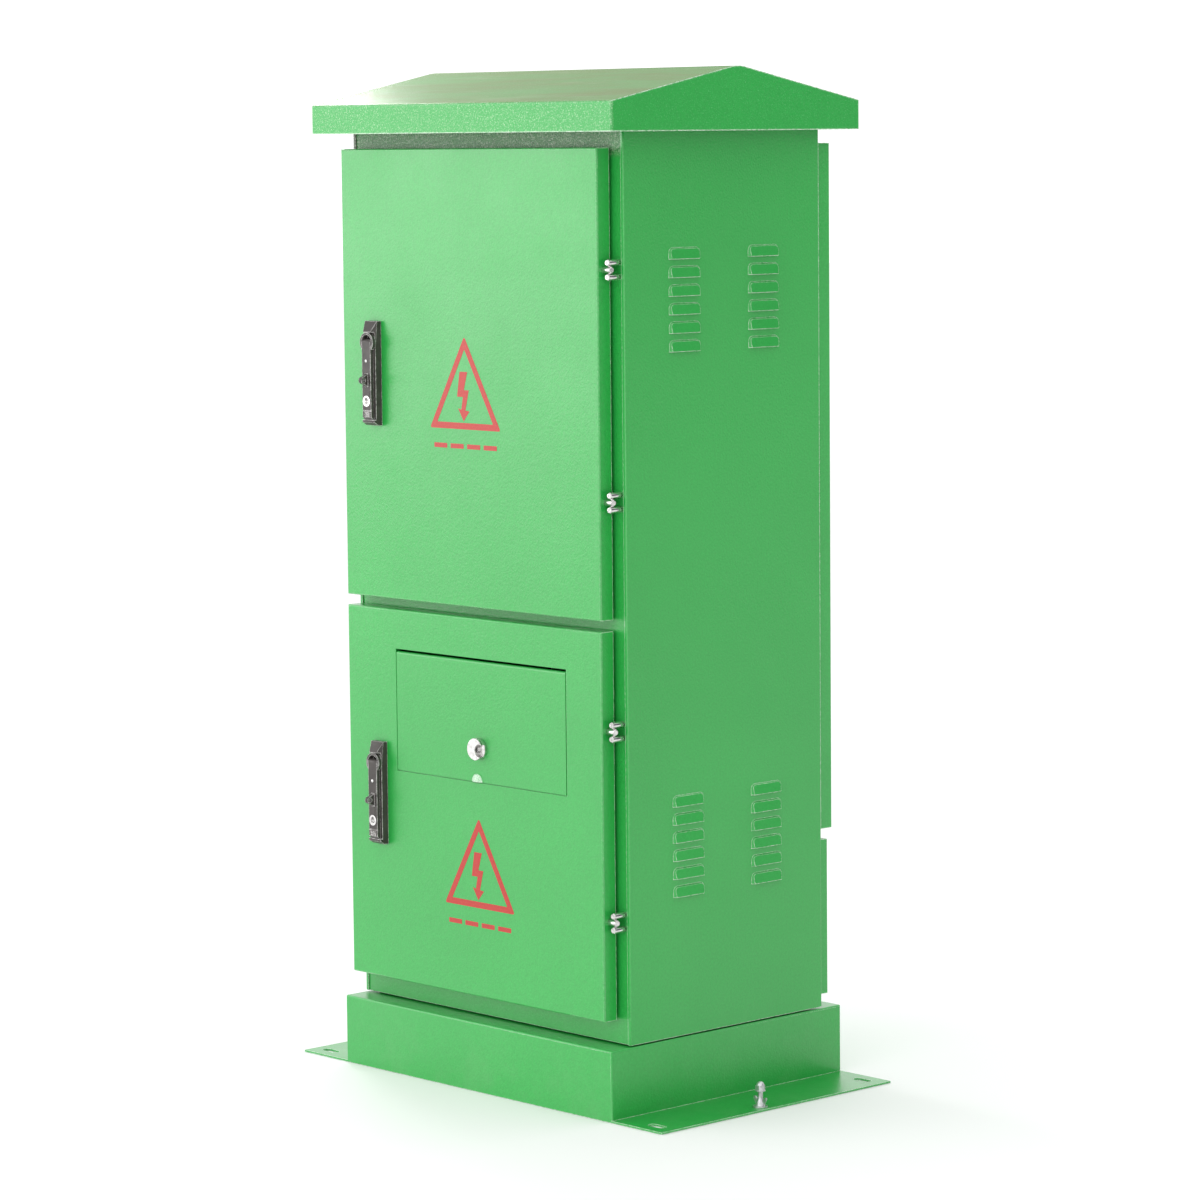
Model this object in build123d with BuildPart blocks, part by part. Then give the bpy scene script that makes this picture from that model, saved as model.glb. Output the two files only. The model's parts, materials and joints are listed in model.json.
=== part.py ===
from build123d import *
import math
import os

# A slim outdoor power cabinet with a small transformer: two doors at the front, one at the back,
# a gable roof and a flanged plinth. Millimetres, X to the right seen from the front, Y to the back,
# Z up. The origin is the middle of the footprint, on the ground.

os.makedirs("parts", exist_ok=True)

FRONT = -1
REAR = 1

# Cabinet body
body_width = 600
body_depth = 400
body_bottom = 108
body_top = 1434
sheet = 2
edge_return = 6
half_width = body_width / 2
half_depth = body_depth / 2
inner_half_width = half_width - sheet
frame_face = half_depth - sheet
frame_back = frame_face - sheet

# Plinth with its two outward feet
plinth_width = 602
plinth_depth = 480
plinth_height = 105.5
plinth_sheet = 3
foot_width = 104
slot_x = 370
slot_y = 215
slot_length = 32
slot_width = 14
plinth_mouth_width = 500
plinth_mouth_depth = 300
gasket_width = 570
gasket_depth = 370
case_bolt_x = 270
case_bolt_y = 170
case_bolt_radius = 6
case_bolt_hole = 6.5

# Roof cap
roof_width = 666
roof_depth = 508
roof_bottom = 1433.6
roof_eave = 1477
roof_ridge = 1528.5
ridge_radius = 80

# Doors, all with the same section; "depth" is the distance from the cabinet's middle plane
door_latch_x = -295
door_hinge_x = 275
door_face = 229
door_back = 204
door_return = 8
upper_door = (731, 1411)
lower_door = (143, 715)
rear_door_height = (380, 1414)
bend_radius = 2.5

# Door openings in the frames, with a lip turned outwards
opening_latch_x = -270
opening_hinge_x = 258
opening_inset = 16
lip_depth = 216
seal_gap = 0.5
seal_width = 14

# Hinges: two barrels on the frame and one on the door, stacked on a vertical pin
hinge_x = 287
hinge_depth = 216
barrel_radius = 5
barrel_pitch = 10.3
barrel_front = 222
barrel_tip_x = 292
barrel_nose = 1.4
barrel_nose_radius = 3.4
pin_radius = 2
running_fit = 0.05
upper_hinges = (902.6, 1236.6)
lower_hinges = (289.7, 569.7)
rear_hinges = (480, 897, 1314)

# Swing handles
handle_x = -220
handle_length = 158
handle_width = 28
pivot_drop = 32
upper_handle_top = 1152
lower_handle_top = 510
crank_radius = 13
crank_pin_radius = 3

# Inspection flap in the lower door
flap_x = (-181, 198)
flap_z = (469.5, 651.5)
flap_roll_radius = 4
flap_pin_radius = 1.6
flap_lock_x = 8
flap_lock_z = 520

# Inside
shelf_z = 722
plate_front = 52
plate_thickness = 3
core_half_width = 150
leg_width = 50
leg_pitch = 125
core_z = (160, 470)
phase_x = (-35, 0, 35)
branch_x = (-110, 0, 110)


def block(x_range, y_range, z_range, mode=Mode.ADD):
    """A rectangular block between two limits on each axis."""
    ranges = (x_range, y_range, z_range)
    middle = tuple((low + high) / 2 for low, high in ranges)
    size = [abs(high - low) for low, high in ranges]
    with Locations(middle):
        Box(*size, mode=mode)


def bar(radius, start, end, mode=Mode.ADD, end_radius=None):
    """A round bar from one point to another, tapered when an end radius is given."""
    run = Vector(end) - Vector(start)
    seat = (Align.CENTER, Align.CENTER, Align.MIN)
    with Locations(Plane(origin=start, z_dir=run)):
        if end_radius is None:
            Cylinder(radius, run.length, align=seat, mode=mode)
        else:
            Cone(radius, end_radius, run.length, align=seat, mode=mode)


def prism(points, plane, amount, mode=Mode.ADD, crown=None):
    """A closed outline on a plane, drawn out along the plane's normal, its top corner rounded on request."""
    with BuildSketch(plane) as outline:
        with BuildLine():
            Polyline(*points, close=True)
        make_face()
        if crown:
            fillet(outline.vertices().sort_by(Axis.Y)[-1], crown)
    extrude(outline.sketch, amount=amount, mode=mode)


def hexagon(across_flats, base, direction, height):
    """A hexagonal prism, as on a nut."""
    with BuildSketch(Plane(origin=base, z_dir=direction)) as outline:
        RegularPolygon(across_flats / 2, 6, major_radius=False)
    extrude(outline.sketch, amount=height)


def at(side, x, depth, z):
    """A point on the front or back of the cabinet. The back is the front turned half a turn."""
    return (-side * x, side * depth, z)


def side_block(side, x_range, depth_range, z_range, mode=Mode.ADD):
    """A block on the front or back, by its limits across, in depth and in height."""
    x_limits = tuple(-side * x for x in x_range)
    y_limits = tuple(side * depth for depth in depth_range)
    block(x_limits, y_limits, z_range, mode)


def side_bar(side, radius, start, end, mode=Mode.ADD, end_radius=None):
    """A round bar on the front or back, between two points given across, in depth and in height."""
    bar(radius, at(side, *start), at(side, *end), mode, end_radius)


def save(builder, name):
    """Label a finished piece and write it."""
    builder.part.label = name
    export_step(builder.part, f"parts/{name}.step")


# ---------------------------------------------------------------- plinth, gasket, fixings

with BuildPart() as plinth:
    half_plinth_width = plinth_width / 2
    half_plinth_depth = plinth_depth / 2
    foot_edge = half_plinth_width + foot_width
    wall = half_plinth_width - plinth_sheet
    end_wall = half_plinth_depth - plinth_sheet
    under_top = plinth_height - plinth_sheet
    block((-half_plinth_width, half_plinth_width), (-half_plinth_depth, half_plinth_depth), (0, plinth_height))
    top_edges = plinth.faces().sort_by(Axis.Z)[-1].edges()
    fillet(top_edges + plinth.edges().filter_by(Axis.Z), bend_radius)
    block((-wall, wall), (-end_wall, end_wall), (0, under_top), Mode.SUBTRACT)
    mouth_x = plinth_mouth_width / 2
    mouth_y = plinth_mouth_depth / 2
    block((-mouth_x, mouth_x), (-mouth_y, mouth_y), (under_top, plinth_height), Mode.SUBTRACT)
    for sign in (-1, 1):
        feet = (sign * (half_plinth_width - plinth_sheet), sign * foot_edge)
        block(feet, (-half_plinth_depth, half_plinth_depth), (0, plinth_sheet))
    with BuildSketch(Plane.XY):
        with GridLocations(2 * slot_x, 2 * slot_y, 2, 2):
            SlotOverall(slot_length, slot_width)
    extrude(amount=plinth_sheet, mode=Mode.SUBTRACT)
    with Locations((0, 0, plinth_height)):
        with GridLocations(2 * case_bolt_x, 2 * case_bolt_y, 2, 2):
            Hole(case_bolt_hole, plinth_sheet)
save(plinth, "plinth")

with BuildPart() as plinth_gasket:
    half_width_of_gasket = gasket_width / 2
    half_depth_of_gasket = gasket_depth / 2
    gasket_x = (-half_width_of_gasket, half_width_of_gasket)
    gasket_y = (-half_depth_of_gasket, half_depth_of_gasket)
    block(gasket_x, gasket_y, (plinth_height, body_bottom))
    block((-mouth_x, mouth_x), (-mouth_y, mouth_y), (plinth_height, body_bottom), Mode.SUBTRACT)
    with Locations((0, 0, body_bottom)):
        with GridLocations(2 * case_bolt_x, 2 * case_bolt_y, 2, 2):
            Hole(case_bolt_hole, body_bottom - plinth_height)
save(plinth_gasket, "plinth_gasket")

cover_screws = [(x, z) for x in (-255, 270) for z in (146, 346)]

with BuildPart() as case_fasteners:
    for x in (-case_bolt_x, case_bolt_x):
        for y in (-case_bolt_y, case_bolt_y):
            bar(case_bolt_radius, (x, y, 86), (x, y, body_bottom + sheet))
            hexagon(19, (x, y, body_bottom + sheet), (0, 0, 1), 8)
            hexagon(19, (x, y, under_top), (0, 0, -1), 10)
    for x, z in cover_screws:
        bar(3, (x, 192, z), (x, 219, z))
        bar(6, (x, 219, z), (x, 223, z), end_radius=4.5)
save(case_fasteners, "case_fasteners")

stud_x = 388
stud_y = -22

with BuildPart() as earth_stud:
    bar(4, (stud_x, stud_y, plinth_sheet), (stud_x, stud_y, 38))
    bar(11, (stud_x, stud_y, plinth_sheet), (stud_x, stud_y, 5))
    bar(7, (stud_x, stud_y, 5), (stud_x, stud_y, 15), end_radius=5)
    for sign in (-1, 1):
        wing = [(sign * x, z) for x, z in ((4, 6), (9, 8), (13, 15), (12.5, 18), (9.5, 18), (4, 11))]
        prism(wing, Plane(origin=(stud_x, stud_y - 1.5, 0), x_dir=(1, 0, 0), z_dir=(0, -1, 0)), -3)
    bar(8, (stud_x, stud_y, 27), (stud_x, stud_y, 28.5))
    hexagon(13, (stud_x, stud_y, 28.5), (0, 0, 1), 7)
    bar(6.3, (stud_x, stud_y, 35.5), (stud_x, stud_y, 39), end_radius=4.8)
    bar(4.8, (stud_x, stud_y, 39), (stud_x, stud_y, 41), end_radius=2)
save(earth_stud, "earth_stud")

# ---------------------------------------------------------------- body panels

louvre_width = 63
louvre_height = 16.6
louvre_proud = 4.6
louvre_wall = 1.2
louvre_draft = 38
louvre_pitch = 26.8
louvre_columns = (-80, 82)
louvre_bases = (315.5, 1115.3)
louvre_corner = 8


def louvre_shape(inset, depth_behind):
    """A pressed hood: open below, sloped back to the panel at its top and drafted at its ends."""
    width = louvre_width - 2 * inset
    height = louvre_height - inset
    proud = louvre_proud - inset
    with BuildPart() as hood:
        with BuildSketch(Plane.YZ) as outline:
            RectangleRounded(width, 2 * height, louvre_corner - inset)
        extrude(outline.sketch, amount=proud, taper=louvre_draft)
        if depth_behind:
            extrude(outline.sketch, amount=-depth_behind)
        slope = Plane(origin=(proud, 0, 0), z_dir=(height, 0, 0.6 * proud))
        split(bisect_by=slope, keep=Keep.BOTTOM)
        block((-depth_behind, proud), (-width, width), (-2 * height, 0), Mode.SUBTRACT)
    return hood.part


hood_outside = louvre_shape(0, 0)
hood_inside = louvre_shape(louvre_wall, 3)

with BuildPart() as right_side_panel:
    z_limits = (body_bottom, body_top)
    block((inner_half_width, half_width), (-half_depth, half_depth), z_limits)
    for sign in (-1, 1):
        returns = (half_width - edge_return, half_width)
        block(returns, (sign * half_depth, sign * frame_face), z_limits)
    corners = right_side_panel.edges().filter_by(Axis.Z).group_by(Axis.X)[-1]
    fillet(corners, 1.8)
    louvre_places = [
        (half_width, y, base + row * louvre_pitch)
        for y in louvre_columns
        for base in louvre_bases
        for row in range(6)
    ]
    with Locations(*louvre_places):
        add(hood_outside)
        add(hood_inside, mode=Mode.SUBTRACT)
    block((278, inner_half_width), (plate_front + plate_thickness, 58), (760, 1380))
save(right_side_panel, "right_side_panel")

with BuildPart() as left_side_panel:
    mirror(right_side_panel.part, about=Plane.YZ)
save(left_side_panel, "left_side_panel")


def opening_of(door):
    """The height of the opening that a door covers."""
    return (door[0] + opening_inset, door[1] - opening_inset)


def frame_sheet(side):
    """The flat sheet of a frame, between the two side panels."""
    side_block(side, (-inner_half_width, inner_half_width), (frame_back, frame_face), (body_bottom, body_top))


def lipped_opening(side, door):
    """A door opening whose edge is turned outwards, against the door's seal."""
    low, high = opening_of(door)
    outer_x = (opening_latch_x - sheet, opening_hinge_x + sheet)
    side_block(side, outer_x, (frame_face, lip_depth), (low - sheet, high + sheet))
    side_block(side, (opening_latch_x, opening_hinge_x), (frame_back, lip_depth), (low, high), Mode.SUBTRACT)


seam_x = -257

with BuildPart() as front_frame:
    frame_sheet(FRONT)
    lipped_opening(FRONT, upper_door)
    lipped_opening(FRONT, lower_door)
    side_block(FRONT, (seam_x, seam_x + 0.8), (frame_face - 0.5, frame_face), (1398, body_top), Mode.SUBTRACT)
save(front_frame, "front_frame")

with BuildPart() as rear_frame:
    frame_sheet(REAR)
    lipped_opening(REAR, rear_door_height)
    block((-240, 255), (frame_back, frame_face), (150, 342), Mode.SUBTRACT)
    for x, z in cover_screws:
        bar(3.05, (x, frame_back, z), (x, frame_face, z), Mode.SUBTRACT)
save(rear_frame, "rear_frame")

with BuildPart() as rear_lower_cover:
    block((-275, 295), (half_depth, 219), (126, 364))
    fillet(rear_lower_cover.faces().sort_by(Axis.Y)[-1].edges(), bend_radius)
    block((-273, 293), (half_depth, 217), (128, 362), Mode.SUBTRACT)
    for x, z in cover_screws:
        bar(3.3, (x, 217, z), (x, 219, z), Mode.SUBTRACT)
save(rear_lower_cover, "rear_lower_cover")

gland_x = (-200, -100, 0, 100, 200)
gland_y = -122
gland_hole = 16

with BuildPart() as floor_plate:
    block((-inner_half_width, inner_half_width), (-frame_back, frame_back), (body_bottom, body_bottom + sheet))
    for x in gland_x:
        bar(gland_hole, (x, gland_y, body_bottom), (x, gland_y, body_bottom + sheet), Mode.SUBTRACT)
    for x in (-case_bolt_x, case_bolt_x):
        for y in (-case_bolt_y, case_bolt_y):
            bar(case_bolt_hole, (x, y, body_bottom), (x, y, body_bottom + sheet), Mode.SUBTRACT)
save(floor_plate, "floor_plate")

with BuildPart() as cable_glands:
    for x in gland_x:
        bar(gland_hole - 0.1, (x, gland_y, 96), (x, gland_y, 112))
        hexagon(38, (x, gland_y, body_bottom + sheet), (0, 0, 1), 6)
        bar(18, (x, gland_y, 116), (x, gland_y, 132), end_radius=14)
        hexagon(38, (x, gland_y, body_bottom), (0, 0, -1), 5)
        bar(11, (x, gland_y, 96), (x, gland_y, 132), Mode.SUBTRACT)
save(cable_glands, "cable_glands")

with BuildPart() as divider_shelf:
    block((-inner_half_width, inner_half_width), (-frame_back, frame_back), (shelf_z, shelf_z + sheet))
    block((-70, 70), (60, 90), (shelf_z, shelf_z + sheet), Mode.SUBTRACT)
save(divider_shelf, "divider_shelf")

# ---------------------------------------------------------------- roof

half_roof_width = roof_width / 2
half_roof_depth = roof_depth / 2
roof_rise = roof_ridge - roof_eave
roof_inside_depth = half_roof_depth - sheet
slope_drop = sheet / math.cos(math.atan(roof_rise / half_roof_depth))


def roof_underside(depth):
    """The height of the roof's underside at a distance from the ridge."""
    return roof_ridge - slope_drop - roof_rise * depth / half_roof_depth


def gable(half_span, base, top_of):
    """A gable outline across the cabinet."""
    return [(-half_span, base), (half_span, base), (half_span, top_of(half_span)),
            (0, top_of(0)), (-half_span, top_of(half_span))]


with BuildPart() as roof_cap:
    outside = gable(half_roof_depth, roof_bottom, lambda depth: roof_ridge - roof_rise * depth / half_roof_depth)
    prism(outside, Plane.YZ.offset(-half_roof_width), roof_width, crown=ridge_radius)
    eave_edges = roof_cap.edges().filter_by(Axis.X).group_by(Axis.Z)[1]
    fillet(roof_cap.edges().filter_by(Axis.Z) + eave_edges, 3)
    inside = gable(roof_inside_depth, roof_bottom + sheet, roof_underside)
    inside_start = Plane.YZ.offset(-half_roof_width + sheet)
    prism(inside, inside_start, roof_width - 2 * sheet, Mode.SUBTRACT, crown=ridge_radius - sheet)
    mouth = (half_roof_width - 12, half_roof_depth - 12)
    block((-mouth[0], mouth[0]), (-mouth[1], mouth[1]), (roof_bottom, roof_bottom + sheet), Mode.SUBTRACT)
save(roof_cap, "roof_cap")

rib_x = 200
rib_half_span = 190
rib_thickness = 3

with BuildPart() as top_plate:
    block((-inner_half_width, inner_half_width), (-frame_back, frame_back), (body_top - sheet, body_top))
    for x in (-rib_x, rib_x):
        rib = gable(rib_half_span, body_top, roof_underside)
        prism(rib, Plane.YZ.offset(x - rib_thickness / 2), rib_thickness, crown=ridge_radius - sheet)
        block((x - 5, x + 5), (-120, 120), (1445, 1480), Mode.SUBTRACT)
save(top_plate, "top_plate")

# ---------------------------------------------------------------- hinges

with BuildPart() as hinge_brackets:
    for side, heights in ((FRONT, upper_hinges + lower_hinges), (REAR, rear_hinges)):
        for z in heights:
            for level in (z - barrel_pitch, z + barrel_pitch):
                nose = (hinge_x, barrel_front - barrel_nose, level)
                tip = (hinge_x, barrel_front, level)
                side_bar(side, barrel_radius, (hinge_x, frame_face, level), nose)
                side_bar(side, barrel_radius, nose, tip, end_radius=barrel_nose_radius)
                dimple = (hinge_x, barrel_front - 1, level)
                side_bar(side, 2, tip, dimple, Mode.SUBTRACT, end_radius=0.6)
            bore = pin_radius + running_fit
            side_bar(side, bore, (hinge_x, hinge_depth, z - 20), (hinge_x, hinge_depth, z + 20), Mode.SUBTRACT)
save(hinge_brackets, "hinge_brackets")

with BuildPart() as hinge_pins:
    for side, heights in ((FRONT, upper_hinges + lower_hinges), (REAR, rear_hinges)):
        for z in heights:
            side_bar(side, pin_radius, (hinge_x, hinge_depth, z - 15), (hinge_x, hinge_depth, z + 15))
save(hinge_pins, "hinge_pins")


def door_barrels(side, heights):
    """The barrels on a door's edge, one between each pair on the frame."""
    for z in heights:
        nose = (barrel_tip_x - barrel_nose, hinge_depth, z)
        side_bar(side, barrel_radius, (door_hinge_x, hinge_depth, z), nose)
        side_bar(side, barrel_radius, nose, (barrel_tip_x, hinge_depth, z), end_radius=barrel_nose_radius)
        bore = pin_radius + running_fit
        side_bar(side, bore, (hinge_x, hinge_depth, z - 8), (hinge_x, hinge_depth, z + 8), Mode.SUBTRACT)


with BuildPart() as upper_door_barrels:
    door_barrels(FRONT, upper_hinges)
save(upper_door_barrels, "upper_door_barrels")

with BuildPart() as lower_door_barrels:
    door_barrels(FRONT, lower_hinges)
save(lower_door_barrels, "lower_door_barrels")

with BuildPart() as rear_door_barrels:
    door_barrels(REAR, rear_hinges)
save(rear_door_barrels, "rear_door_barrels")

# ---------------------------------------------------------------- doors and seals

rod_near = 193.5
rod_far = 196.5
rod_offset = 11
rod_width = 14
rod_end_gap = 1.5
guide_height = 12
sleeve_radius = 10
sleeve_back = 214


def door_pan(door, side, height):
    """A folded door: a skin, four sides and a narrow return all round."""
    low, high = height
    side_block(side, (door_latch_x, door_hinge_x), (door_back, door_face), height)
    outer_face = door.faces().sort_by(Axis.Y)[0 if side == FRONT else -1]
    fillet(outer_face.edges(), bend_radius)
    inner_x = (door_latch_x + sheet, door_hinge_x - sheet)
    inner_z = (low + sheet, high - sheet)
    side_block(side, inner_x, (door_back + sheet, door_face - sheet), inner_z, Mode.SUBTRACT)
    mouth_x_limits = (door_latch_x + door_return, door_hinge_x - door_return)
    mouth_z_limits = (low + door_return, high - door_return)
    side_block(side, mouth_x_limits, (door_back, door_back + sheet), mouth_z_limits, Mode.SUBTRACT)


def rod_guide(side, x, z):
    """A bracket on the inside of a door, with a window that a lock rod slides in."""
    low = z - guide_height / 2
    high = z + guide_height / 2
    half = rod_width / 2
    side_block(side, (x - half - 4, x + half + 4), (190, door_face - sheet), (low, high))
    side_block(side, (x - half, x + half), (200, door_face - sheet - 1.5), (low, high), Mode.SUBTRACT)
    window_x = (x - half - 0.4, x + half + 0.4)
    side_block(side, window_x, (rod_near - 0.4, rod_far + 0.4), (low, high), Mode.SUBTRACT)


def handle_mounting(side, door, handle_top):
    """The hole for the handle's sleeve and the guides of the two lock rods."""
    pivot = handle_top - pivot_drop
    hole = sleeve_radius + 0.1
    start = (handle_x, door_face - sheet, pivot)
    side_bar(side, hole, start, (handle_x, door_face, pivot), Mode.SUBTRACT)
    low, high = opening_of(door)
    rod_guide(side, handle_x - rod_offset, high - 60)
    rod_guide(side, handle_x + rod_offset, low + 60)


def door_seal(side, height):
    """A foam ring on the inside of the door's skin, where the frame's lip meets it."""
    low, high = opening_of(height)
    half = seal_width / 2
    depth_limits = (lip_depth + seal_gap, door_face - sheet)
    outer_x = (opening_latch_x - half - 1, opening_hinge_x + half + 1)
    inner_x = (opening_latch_x + half - 1, opening_hinge_x - half + 1)
    side_block(side, outer_x, depth_limits, (low - half - 1, high + half + 1))
    side_block(side, inner_x, depth_limits, (low + half - 1, high - half + 1), Mode.SUBTRACT)


flap_margin = 1.5
flap_top_gap = 3.5
flap_axis_depth = door_face - flap_roll_radius
flap_axis_z = flap_z[1] - flap_roll_radius

with BuildPart() as upper_front_door:
    door_pan(upper_front_door, FRONT, upper_door)
    handle_mounting(FRONT, upper_door, upper_handle_top)
save(upper_front_door, "upper_front_door")

with BuildPart() as lower_front_door:
    door_pan(lower_front_door, FRONT, lower_door)
    handle_mounting(FRONT, lower_door, lower_handle_top)
    hatch_x = (flap_x[0] - flap_margin, flap_x[1] + flap_margin)
    hatch_z = (flap_z[0] - flap_margin, flap_z[1] + flap_top_gap)
    side_block(FRONT, hatch_x, (door_face - sheet, door_face), hatch_z, Mode.SUBTRACT)
save(lower_front_door, "lower_front_door")

latch_x = -245
latch_z = 897

with BuildPart() as rear_door:
    door_pan(rear_door, REAR, rear_door_height)
    start = (latch_x, door_face - sheet, latch_z)
    side_bar(REAR, sleeve_radius + 0.1, start, (latch_x, door_face, latch_z), Mode.SUBTRACT)
save(rear_door, "rear_door")

for name, side, height in (
    ("upper_door_seal", FRONT, upper_door),
    ("lower_door_seal", FRONT, lower_door),
    ("rear_door_seal", REAR, rear_door_height),
):
    with BuildPart() as seal:
        door_seal(side, height)
    save(seal, name)

# ---------------------------------------------------------------- swing handles

base_depth = 235
tray_depth = 240.8
disc_front = 236.9
cup_back = 241.3
cup_front = 247
cup_radius = 15
cup_bore = 11.6
cup_wall = 12.8
turning_radius = 13
head_front = 246.5
head_top_depth = 237
lever_back = 241.4
lever_front = 247.6
lever_half = 10
knuckle_depth = 242.4
cheek_radius = 5.2
lug_half = 5
lug_radius = 3.4
lug_clearance = 0.3
neck_half = 2.4
knuckle_pin_radius = 1.75
tip_rise = 9.5
key_drop = 121
key_radius = 6
key_face_radius = 8.3
eye_drop = 89
eye_depth = 255
eye_end_radius = 5.5
eye_half = 3.5
crank_disc_radius = 19
cam_front = 200
cam_back = 197
nut_height = 7


def handle_housing(top):
    """The fixed body of a swing handle: a tray under a wedge-shaped head, and its threaded sleeve."""
    pivot = top - pivot_drop
    bottom = top - handle_length
    head = pivot + cup_radius + 0.3
    lip = bottom + 8.5
    outline = [
        (door_face, bottom), (237, bottom), (244, bottom + 4.5), (245, lip), (tray_depth, lip),
        (tray_depth, head), (head_front, head), (head_top_depth, top), (door_face, top),
    ]
    half = handle_width / 2
    profile = [(-depth, z) for depth, z in outline]
    prism(profile, Plane(origin=(handle_x - half, 0, 0), x_dir=(0, 1, 0), z_dir=(1, 0, 0)), handle_width)
    for sign in (-1, 1):
        facet = Plane(origin=at(FRONT, handle_x + sign * half, head_top_depth, top), z_dir=(sign * 342, -242, 20))
        split(bisect_by=facet, keep=Keep.BOTTOM)
    rim = (handle_x, tray_depth, pivot)
    side_bar(FRONT, turning_radius, (handle_x, base_depth, pivot), rim, Mode.SUBTRACT)
    side_bar(FRONT, sleeve_radius, (handle_x, sleeve_back, pivot), (handle_x, door_face, pivot))
    bore = 6 + running_fit
    side_bar(FRONT, bore, (handle_x, sleeve_back, pivot), (handle_x, base_depth, pivot), Mode.SUBTRACT)


def handle_nut(top):
    """The nut on the sleeve, behind the door's skin."""
    pivot = top - pivot_drop
    nut_front = door_face - sheet
    hexagon(27, at(FRONT, handle_x, nut_front, pivot), (0, 1, 0), nut_height)
    start = (handle_x, nut_front - nut_height, pivot)
    side_bar(FRONT, sleeve_radius + 0.05, start, (handle_x, nut_front, pivot), Mode.SUBTRACT)


def handle_spindle(top):
    """The spindle: a cup round the lever's knuckle outside, and the crank disc inside the door."""
    pivot = top - pivot_drop
    side_bar(FRONT, cup_wall, (handle_x, base_depth + 0.3, pivot), (handle_x, cup_back, pivot))
    side_bar(FRONT, cup_radius, (handle_x, cup_back, pivot), (handle_x, cup_front, pivot))
    floor = (handle_x, disc_front, pivot)
    side_bar(FRONT, cup_bore, floor, (handle_x, cup_front, pivot), Mode.SUBTRACT)
    exit_x = (handle_x - lever_half - 0.4, handle_x + lever_half + 0.4)
    side_block(FRONT, exit_x, (disc_front, cup_front), (pivot - 20, pivot), Mode.SUBTRACT)
    side_bar(FRONT, 6, (handle_x, cam_back, pivot), (handle_x, disc_front, pivot))
    lug_x = (handle_x - lug_half, handle_x + lug_half)
    side_bar(FRONT, lug_radius, (lug_x[0], knuckle_depth, pivot), (lug_x[1], knuckle_depth, pivot))
    neck_z = (pivot - neck_half, pivot + neck_half)
    side_block(FRONT, lug_x, (disc_front - 0.5, knuckle_depth), neck_z)
    pin_ends = (handle_x - lever_half + 0.2, handle_x + lever_half - 0.2)
    side_bar(FRONT, knuckle_pin_radius, (pin_ends[0], knuckle_depth, pivot), (pin_ends[1], knuckle_depth, pivot))
    side_bar(FRONT, crank_disc_radius, (handle_x, cam_back, pivot), (handle_x, cam_front, pivot))
    throw = crank_radius * math.sqrt(0.5)
    for sign in (-1, 1):
        x = handle_x + sign * throw
        z = pivot - sign * throw
        side_bar(FRONT, crank_pin_radius, (x, 191, z), (x, cam_back, z))


def handle_lever(top):
    """The lever, rolled over its knuckle, with a padlock eye, a lock bore and a grooved grip."""
    pivot = top - pivot_drop
    tip = top - handle_length + tip_rise
    lever_x = (handle_x - lever_half, handle_x + lever_half)
    side_block(FRONT, lever_x, (lever_back, lever_front), (tip, pivot))
    side_bar(FRONT, cheek_radius, (lever_x[0], knuckle_depth, pivot), (lever_x[1], knuckle_depth, pivot))
    slot_half = lug_half + lug_clearance
    slot_x = (handle_x - slot_half, handle_x + slot_half)
    round_slot = lug_radius + lug_clearance
    start = (slot_x[0], knuckle_depth, pivot)
    side_bar(FRONT, round_slot, start, (slot_x[1], knuckle_depth, pivot), Mode.SUBTRACT)
    back_of_roll = knuckle_depth - cheek_radius
    side_block(FRONT, slot_x, (back_of_roll, knuckle_depth), (pivot - 6.5, pivot + cheek_radius), Mode.SUBTRACT)
    start = (lever_x[0], knuckle_depth, pivot)
    pin_bore = knuckle_pin_radius + running_fit
    side_bar(FRONT, pin_bore, start, (lever_x[1], knuckle_depth, pivot), Mode.SUBTRACT)
    toe = [(-lever_front, tip), (-lever_front, tip + 3), (-lever_front + 3, tip)]
    prism(toe, Plane(origin=(lever_x[0], 0, 0), x_dir=(0, 1, 0), z_dir=(1, 0, 0)), 2 * lever_half, Mode.SUBTRACT)
    for rise in (1.5, 4, 6.5):
        grip_z = (tip + 3 + rise, tip + 4 + rise)
        side_block(FRONT, (lever_x[0] + 4, lever_x[1] - 4), (lever_front - 0.6, lever_front), grip_z, Mode.SUBTRACT)
    side_block(FRONT, lever_x, (lever_front - 0.7, lever_front), (tip + 12.5, tip + 13.3), Mode.SUBTRACT)
    eye_z = top - eye_drop
    eye_x = (handle_x - eye_half, handle_x + eye_half)
    flare = [(-lever_front, eye_z - 10), (-lever_front - 1.5, eye_z - 9), (-eye_depth, eye_z - eye_end_radius),
             (-eye_depth, eye_z + eye_end_radius), (-lever_front - 1.5, eye_z + 9), (-lever_front, eye_z + 10)]
    prism(flare, Plane(origin=(eye_x[0], 0, 0), x_dir=(0, 1, 0), z_dir=(1, 0, 0)), 2 * eye_half)
    side_bar(FRONT, eye_end_radius, (eye_x[0], eye_depth, eye_z), (eye_x[1], eye_depth, eye_z))
    side_bar(FRONT, 3, (eye_x[0], eye_depth, eye_z), (eye_x[1], eye_depth, eye_z), Mode.SUBTRACT)
    key_z = top - key_drop
    key_bore = key_radius + running_fit
    side_bar(FRONT, key_bore, (handle_x, lever_back, key_z), (handle_x, lever_front, key_z), Mode.SUBTRACT)


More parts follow.
